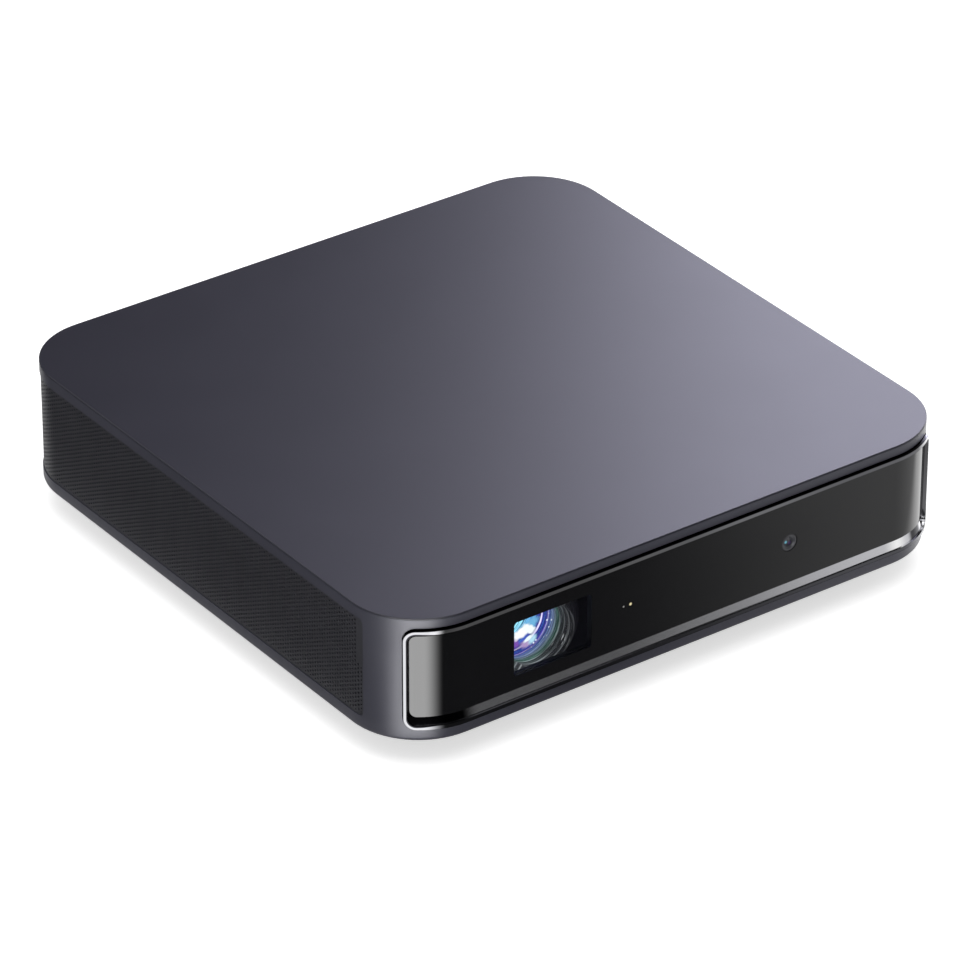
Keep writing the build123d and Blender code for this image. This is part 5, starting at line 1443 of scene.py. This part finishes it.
@dataclass
class Fixings:
    """Screws and feet, each kind repeated from one piece. Sizes in millimetres."""

    segments: int = 32
    seed: int = 7
    recess_half: float = 0.42
    recess_deep: float = 0.85
    thread: Pair = (0.4, 0.18)
    foot_radius: float = 9.0
    groove_pitch: float = 1.4

    def tree(self) -> GeometryTree:
        """Return the group that stands a copy on each corner of the seed, turned at random."""
        tree = GeometryTree("turned_copies")
        most = tree.number("Most Turn")
        tree.entry("Random Seed", "NodeSocketInt")
        tree.entry("Piece", "NodeSocketObject")
        piece = tree.node("GeometryNodeObjectInfo", {}, {"Object": tree.value("Piece")}, "Geometry")
        turn = tree.node("FunctionNodeRandomValue", {"data_type": "FLOAT"},
                         {2: 0.0, 3: most, "Seed": tree.value("Random Seed")}, 1)
        copies = tree.node("GeometryNodeInstanceOnPoints", {}, {
            "Points": tree.value("Geometry"), "Instance": piece, "Rotation": tree.join(0.0, 0.0, turn)})
        tree.close(copies)
        return tree

    def recessed(self, name: str, profile: Sequence[Pair], reach: float) -> bpy.types.Mesh:
        """Return a turned screw whose face at height 0 has a cross cut into it.

        Args:
            name: The mesh's name.
            profile: The screw's closed profile, face down.
            reach: How far the cross reaches from the axis.

        Returns:
            The closed screw.
        """
        points, faces = turned(profile, self.segments)
        screw = stand(name, mesh_of(name, points, faces))
        a, b = self.recess_half, reach
        arm = [(a, -b), (a, -a), (b, -a), (b, a), (a, a), (a, b)]
        plus = arm + [(-x, -y) for x, y in arm]
        rings = [(x, y, -0.5) for x, y in plus] + [(x * 0.55, y * 0.55, self.recess_deep) for x, y in plus]
        walls: list[Sequence[int]] = [(i, (i + 1) % 12, 12 + (i + 1) % 12, 12 + i) for i in range(12)]
        walls += [tuple(range(11, -1, -1)), tuple(range(12, 24))]
        cutter = stand(name + "_cross", mesh_of(name + "_cross", rings, walls))
        cut = screw.modifiers.new("recess", "BOOLEAN")
        cut.operation = "DIFFERENCE"
        cut.solver = "EXACT"
        cut.object = cutter
        mesh = baked(screw)
        bpy.data.objects.remove(cutter)
        return mesh

    def screw(self, name: str, head: float, thick: float, shank: float, length: float) -> bpy.types.Mesh:
        """Return a pan-headed screw with its face at height 0 and its end at a length."""
        profile = [(CORE, 0.0), (head * 0.72, 0.0), (head * 0.92, 0.12), (head, 0.38), (head, thick)]
        profile.append((shank, thick))
        pitch, depth = self.thread
        height = thick + 0.3
        while height < length - 0.7:
            profile += [(shank, height), (shank - depth, height + pitch / 2)]
            height += pitch
        profile += [(shank, height), (shank * 0.5, length), (CORE, length)]
        return self.recessed(name, profile, head * 0.55)

    def foot(self, tall: float, radius: float) -> bpy.types.Mesh:
        """Return a rubber foot with round grooves in its underside."""
        profile = [(CORE, 0.0)]
        r = 1.2
        while r < radius - 1.6:
            profile += [(r, 0.0), (r + 0.15, 0.3), (r + 0.45, 0.3), (r + 0.6, 0.0)]
            r += self.groove_pitch
        profile += [(radius - 0.5, 0.0), (radius - 0.12, 0.2), (radius, 0.5), (radius, tall), (CORE, tall)]
        points, faces = turned(profile, 48)
        return mesh_of("foot", points, faces)

    def spread(self, node: str, mesh: bpy.types.Mesh, look: Looks, radius: float, cross: bool, upper: bool,
               turn: float) -> None:
        """Stand copies in place of a node's four solids.

        Args:
            node: The node, whose box gives the copies' places.
            mesh: The piece, with its face at height 0 and its body above.
            look: Its finish.
            radius: Its widest radius.
            cross: Whether the copies stand on the axes and not in the corners.
            upper: Whether the face looks up, from the box's top.
            turn: The most that a copy is turned, in radians.
        """
        low, high = box_mm(node)
        x0, x1, y0, y1 = low[0] + radius, high[0] - radius, low[1] + radius, high[1] - radius
        x, y = (x0 + x1) / 2, (y0 + y1) / 2
        level = high[2] if upper else low[2]
        spots = [(x0, y), (x1, y), (x, y0), (x, y1)] if cross else [(x0, y0), (x1, y0), (x1, y1), (x0, y1)]
        if upper:
            mesh.transform(Matrix.Rotation(math.pi, 4, "X"))
        piece = stand(node + "_piece", mesh)
        seed = mesh_of(node + "_spots", [(a, b, level) for a, b in spots], [])
        values = {"Most Turn": turn, "Random Seed": self.seed, "Piece": piece, "Finish": look.value.build()}
        copies = self.tree().run(seed, values, node + "_copies")
        bpy.data.objects.remove(piece)
        add_piece(sealed(copies), look, CASING, [node], 35.0)

    def build(self) -> None:
        """Make the screws and the feet."""
        kinds = (
            ("casing_screws", 2.8, 1.2, 1.35, False, False),
            ("plinth_screws", 2.5, 1.4, 1.2, True, False),
            ("board_screws", 2.4, 1.3, 1.2, False, True))
        for node, head, thick, shank, cross, upper in kinds:
            low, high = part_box(node)
            mesh = self.screw(node + "_one", head, thick, shank, (high[2] - low[2]) / MM)
            self.spread(node, mesh, Looks.STEEL, head, cross, upper, math.pi)
        foot = self.foot(box_mm("rubber_feet")[1][2], self.foot_radius)
        self.spread("rubber_feet", foot, Looks.RUBBER, self.foot_radius, False, False, 0.0)


@dataclass
class Casing:
    """Every solid that keeps its shape and gets its finish."""

    smooth: tuple[tuple[str, float], ...] = (
        ("side_frame", 28.0), ("top_cover", 28.0), ("bezel_ring", 32.0), ("front_panel", 28.0))
    flare_right: float = 1.2
    flare_down: float = 1.4
    flare_reach: float = 0.5
    join: float = 0.001

    def weld(self, name: str, look: Looks, angle: float) -> None:
        """Replace a solid by a copy whose corners are joined, so that its curves shade smoothly.

        Args:
            name: The solid's node.
            look: Its finish.
            angle: Edges flatter than this many degrees are shaded smooth.
        """
        mesh = frame["nodes"][name].data.copy()
        mesh.name = name + "_smooth"
        for kept in ("custom_normal", "sharp_edge", "sharp_face"):
            if kept in mesh.attributes:
                mesh.attributes.remove(mesh.attributes[kept])
        sealed(mesh, self.join)
        if name == "front_panel":
            self.flare(mesh)
        add_piece(mesh, look, CASING, [name], angle)

    def flare(self, mesh: bpy.types.Mesh) -> None:
        """Widen the back of the window's hole to the right and downward."""
        low, high = box_mm("lens_window")
        middle = [(a + b) / 2 for a, b in zip(low, high)]
        reach = self.flare_reach
        for point in mesh.vertices:
            spot = [c / MM for c in point.co]
            near = all(low[k] - reach < spot[k] < high[k] + reach for k in (0, 2))
            if spot[1] > high[1] and near:
                point.co.x += self.flare_right * MM * (spot[0] > middle[0])
                point.co.z -= self.flare_down * MM * (spot[2] < middle[2])

    def build(self) -> None:
        """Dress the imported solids."""
        angles = dict(self.smooth)
        for look, names in NODE_LOOKS.items():
            for name in names:
                if name in angles:
                    self.weld(name, look, angles[name])
                mesh = frame["nodes"][name].data
                mesh.materials.clear()
                mesh.materials.append(look.value.build())
            LOG.info("%s: %d solids", look.value.name, len(names))


def sheet(name: str, width: float, height: float) -> bpy.types.Mesh:
    """Return a flat sheet about the origin, in metres, that faces up."""
    w, h = width / 2, height / 2
    mesh = bpy.data.meshes.new(name)
    mesh.from_pydata([(-w, -h, 0), (w, -h, 0), (w, h, 0), (-w, h, 0)], [], [(0, 1, 2, 3)])
    return mesh


def facing(place: Point, away: Vector) -> Matrix:
    """Return the transform of something at a place whose Z axis points away."""
    return Matrix.Translation(place) @ away.to_track_quat("Z", "Y").to_matrix().to_4x4()


@dataclass(frozen=True)
class Card:
    """A card that only gloss shows: black, or glowing evenly or in a gradient, with soft edges.

    place, aim, width and height are in metres, and no aim means that it lies facing up. The rest is in
    millimetres on the card: the gradient runs from low at start to high at end, along X plus slant times Y. A
    fan has a hub, two distances from it between which the glow rises, and four angles in degrees, from -Y
    toward -X: the glow rises between the first two and fades between the last two.
    """

    name: str
    place: Point
    width: float
    height: float
    aim: Optional[Point] = None
    low: float = 0.0
    high: float = 0.0
    start: float = 0.0
    end: float = 100.0
    slant: float = 0.0
    soft: float = 20.0
    fan: tuple[float, ...] = ()
    colour: Colour = (1.0, 1.0, 1.0)

    def paper(self) -> bpy.types.Material:
        """Return the card's material."""
        material, graph = blank(self.name)
        x, y, _ = graph.split(graph.place())
        rise = (x + y * self.slant).ramp(self.start, self.end)
        level = self.low + rise * (self.high - self.low)
        aside = self.width / MM / 2 - x.math("ABSOLUTE")
        inside = aside.math("MINIMUM", self.height / MM / 2 - y.math("ABSOLUTE"))
        share = inside.ramp(0.0, self.soft)
        if self.fan:
            hub_x, hub_y, near, far, *turns = self.fan
            dx, dy = hub_x - x, hub_y - y
            turn = dx.math("ARCTAN2", dy) * math.degrees(1.0)
            share = share * turn.ramp(turns[0], turns[1]) * turn.ramp(turns[3], turns[2])
            share = share * graph.length(dx, dy).ramp(near, far)
        glow = graph.node("ShaderNodeEmission", {}, {"Color": self.colour, "Strength": level})
        clear = graph.node("ShaderNodeBsdfTransparent")
        graph.surface(graph.node("ShaderNodeMixShader", {}, {0: share, 1: clear, 2: glow}))
        return material

    def build(self) -> None:
        """Stand the card in the studio."""
        mesh = sheet(self.name, self.width, self.height)
        mesh.materials.append(self.paper())
        card = stand(self.name, mesh)
        card.matrix_world = Matrix.Translation(self.place)
        if self.aim:
            card.matrix_world = facing(self.place, Vector(self.aim) - Vector(self.place))
        for kind in ("camera", "diffuse", "shadow", "transmission", "volume_scatter"):
            setattr(card, "visible_" + kind, False)


@dataclass(frozen=True)
class Lamp:
    """A soft lamp of some radiance, with its place, facing and size in metres."""

    name: str
    place: Point
    aim: Point
    width: float
    height: float
    radiance: float

    def build(self) -> None:
        """Stand the lamp in the studio, unseen by the camera."""
        data = bpy.data.lights.new(self.name, "AREA")
        data.shape = "RECTANGLE"
        data.size = self.width
        data.size_y = self.height
        data.energy = self.radiance * math.pi * self.width * self.height
        lamp = stand(self.name, data)
        lamp.matrix_world = facing(self.place, Vector(self.place) - Vector(self.aim))
        lamp.visible_camera = False


@dataclass
class Studio:
    """Camera, floor, world, lamps and cards."""

    position: Point = (-0.92292, -1.27008, 0.94885)
    right: Point = (0.8092, -0.5876, 0.0008)
    up: Point = (0.2997, 0.4139, 0.8596)
    back: Point = (-0.5054, -0.6953, 0.5110)
    focal: float = 236.8
    floor_size: float = 12.0
    away: Pair = (0.588, 0.809)
    far: float = 0.85
    edge: float = 0.068
    sensor: float = 36.0
    ambient: float = 0.55

    def camera(self) -> None:
        """Stand the camera where the photograph was taken from."""
        data = bpy.data.cameras.new("view")
        data.lens = self.focal
        data.sensor_width = self.sensor
        camera = stand("view", data)
        turn = Matrix((self.right, self.up, self.back)).transposed().to_4x4()
        camera.matrix_world = Matrix.Translation(self.position) @ turn
        bpy.context.scene.camera = camera

    def floor(self) -> None:
        """Lay a wide pale floor."""
        mesh = sheet("floor", self.floor_size, self.floor_size)
        mesh.materials.append(StudioFloor("floor_paper", (0.90, 0.90, 0.90)).build())
        floor = stand("floor", mesh)

    def world(self) -> None:
        """Show white to the camera, to gloss and through glass, and light the object softly."""
        world = bpy.data.worlds.new("studio")
        world.use_nodes = True
        bpy.context.scene.world = world
        graph = Graph(world.node_tree)
        ray = graph.node("ShaderNodeLightPath", out="Is Camera Ray")
        seen = ray.math("MAXIMUM", ray.pick("Is Glossy Ray")).math("MAXIMUM", ray.pick("Is Transmission Ray"))
        graph.dress(world.node_tree.nodes["Background"], {
            "Color": (1.0, 1.0, 1.0), "Strength": self.ambient + seen * (1.0 - self.ambient)})

    def spot(self, across: float, away: float, height: float) -> Point:
        """Return a place by its distance to the camera's right, away from the camera and up."""
        x, y = self.away
        return (across * y + away * x, -across * x + away * y, height)

    def cards(self) -> tuple[Card, ...]:
        """Return the dark and glowing cards."""
        left, across = self.edge - 0.85, self.edge + 0.45
        return (
            Card("side_softbox", self.spot(across, self.far, 0.55), 0.90, 1.0,
                 self.spot(across, 0.0, 0.55), low=5.1, high=5.1, soft=4.0, colour=(1.0, 0.985, 1.21)),
            Card("back_flag", self.spot(left, self.far, 0.72), 1.7, 1.5,
                 self.spot(left, 0.0, 0.72), soft=2.0),
            Card("left_flag", (-0.405, 0.22, 0.0020), 0.60, 0.62, soft=30.0),
            Card("near_flag", (-0.130, 0.10, 0.0030), 0.056, 0.42, soft=7.0),
            Card("front_card", (0.0, -0.4475, 0.0010), 1.6, 0.70,
                 low=0.07, high=0.90, start=188.0, end=338.0, slant=0.65, soft=2.0),
            Card("corner_card", (-0.22, -0.22, 0.0040), 0.284, 0.284, low=9.5, high=9.5, soft=2.0,
                 fan=(138.4, 135.9, 15.0, 23.0, 0.0, 29.0, 48.0, 87.0)),
            Card("low_flag", (-0.34, -0.52, 0.13), 1.15, 0.30, (-0.08, -0.09, 0.13), soft=25.0),
            Card("right_card", (0.1545, -0.06, 0.0030), 0.141, 0.10, low=2.0, high=2.0, soft=15.0),
            Card("upper_flag", self.spot(0.62, -0.25, 0.45), 0.9, 0.62, (0.0, -0.097, 0.03), soft=40.0),
        )

    def build(self) -> None:
        """Set up the whole studio."""
        bpy.context.scene.view_settings.view_transform = "Standard"
        self.camera()
        self.floor()
        self.world()
        for card in self.cards():
            card.build()
        Lamp("top_softbox", (-0.1, -0.1, 1.8), (0.0, 0.0, 0.0), 1.8, 1.8, 1.6).build()


def main() -> None:
    """Build the studio and then the projector, from the casing inwards."""
    logging.basicConfig(level=logging.INFO, format="%(name)s: %(message)s")
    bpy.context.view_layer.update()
    parts: tuple[Callable[[], Any], ...] = (Studio, Casing, Grilles, Window, Lens, Fixings)
    for part in parts:
        LOG.info("building %s", part.__name__)
        part().build()


if __name__ == "__main__":
    main()
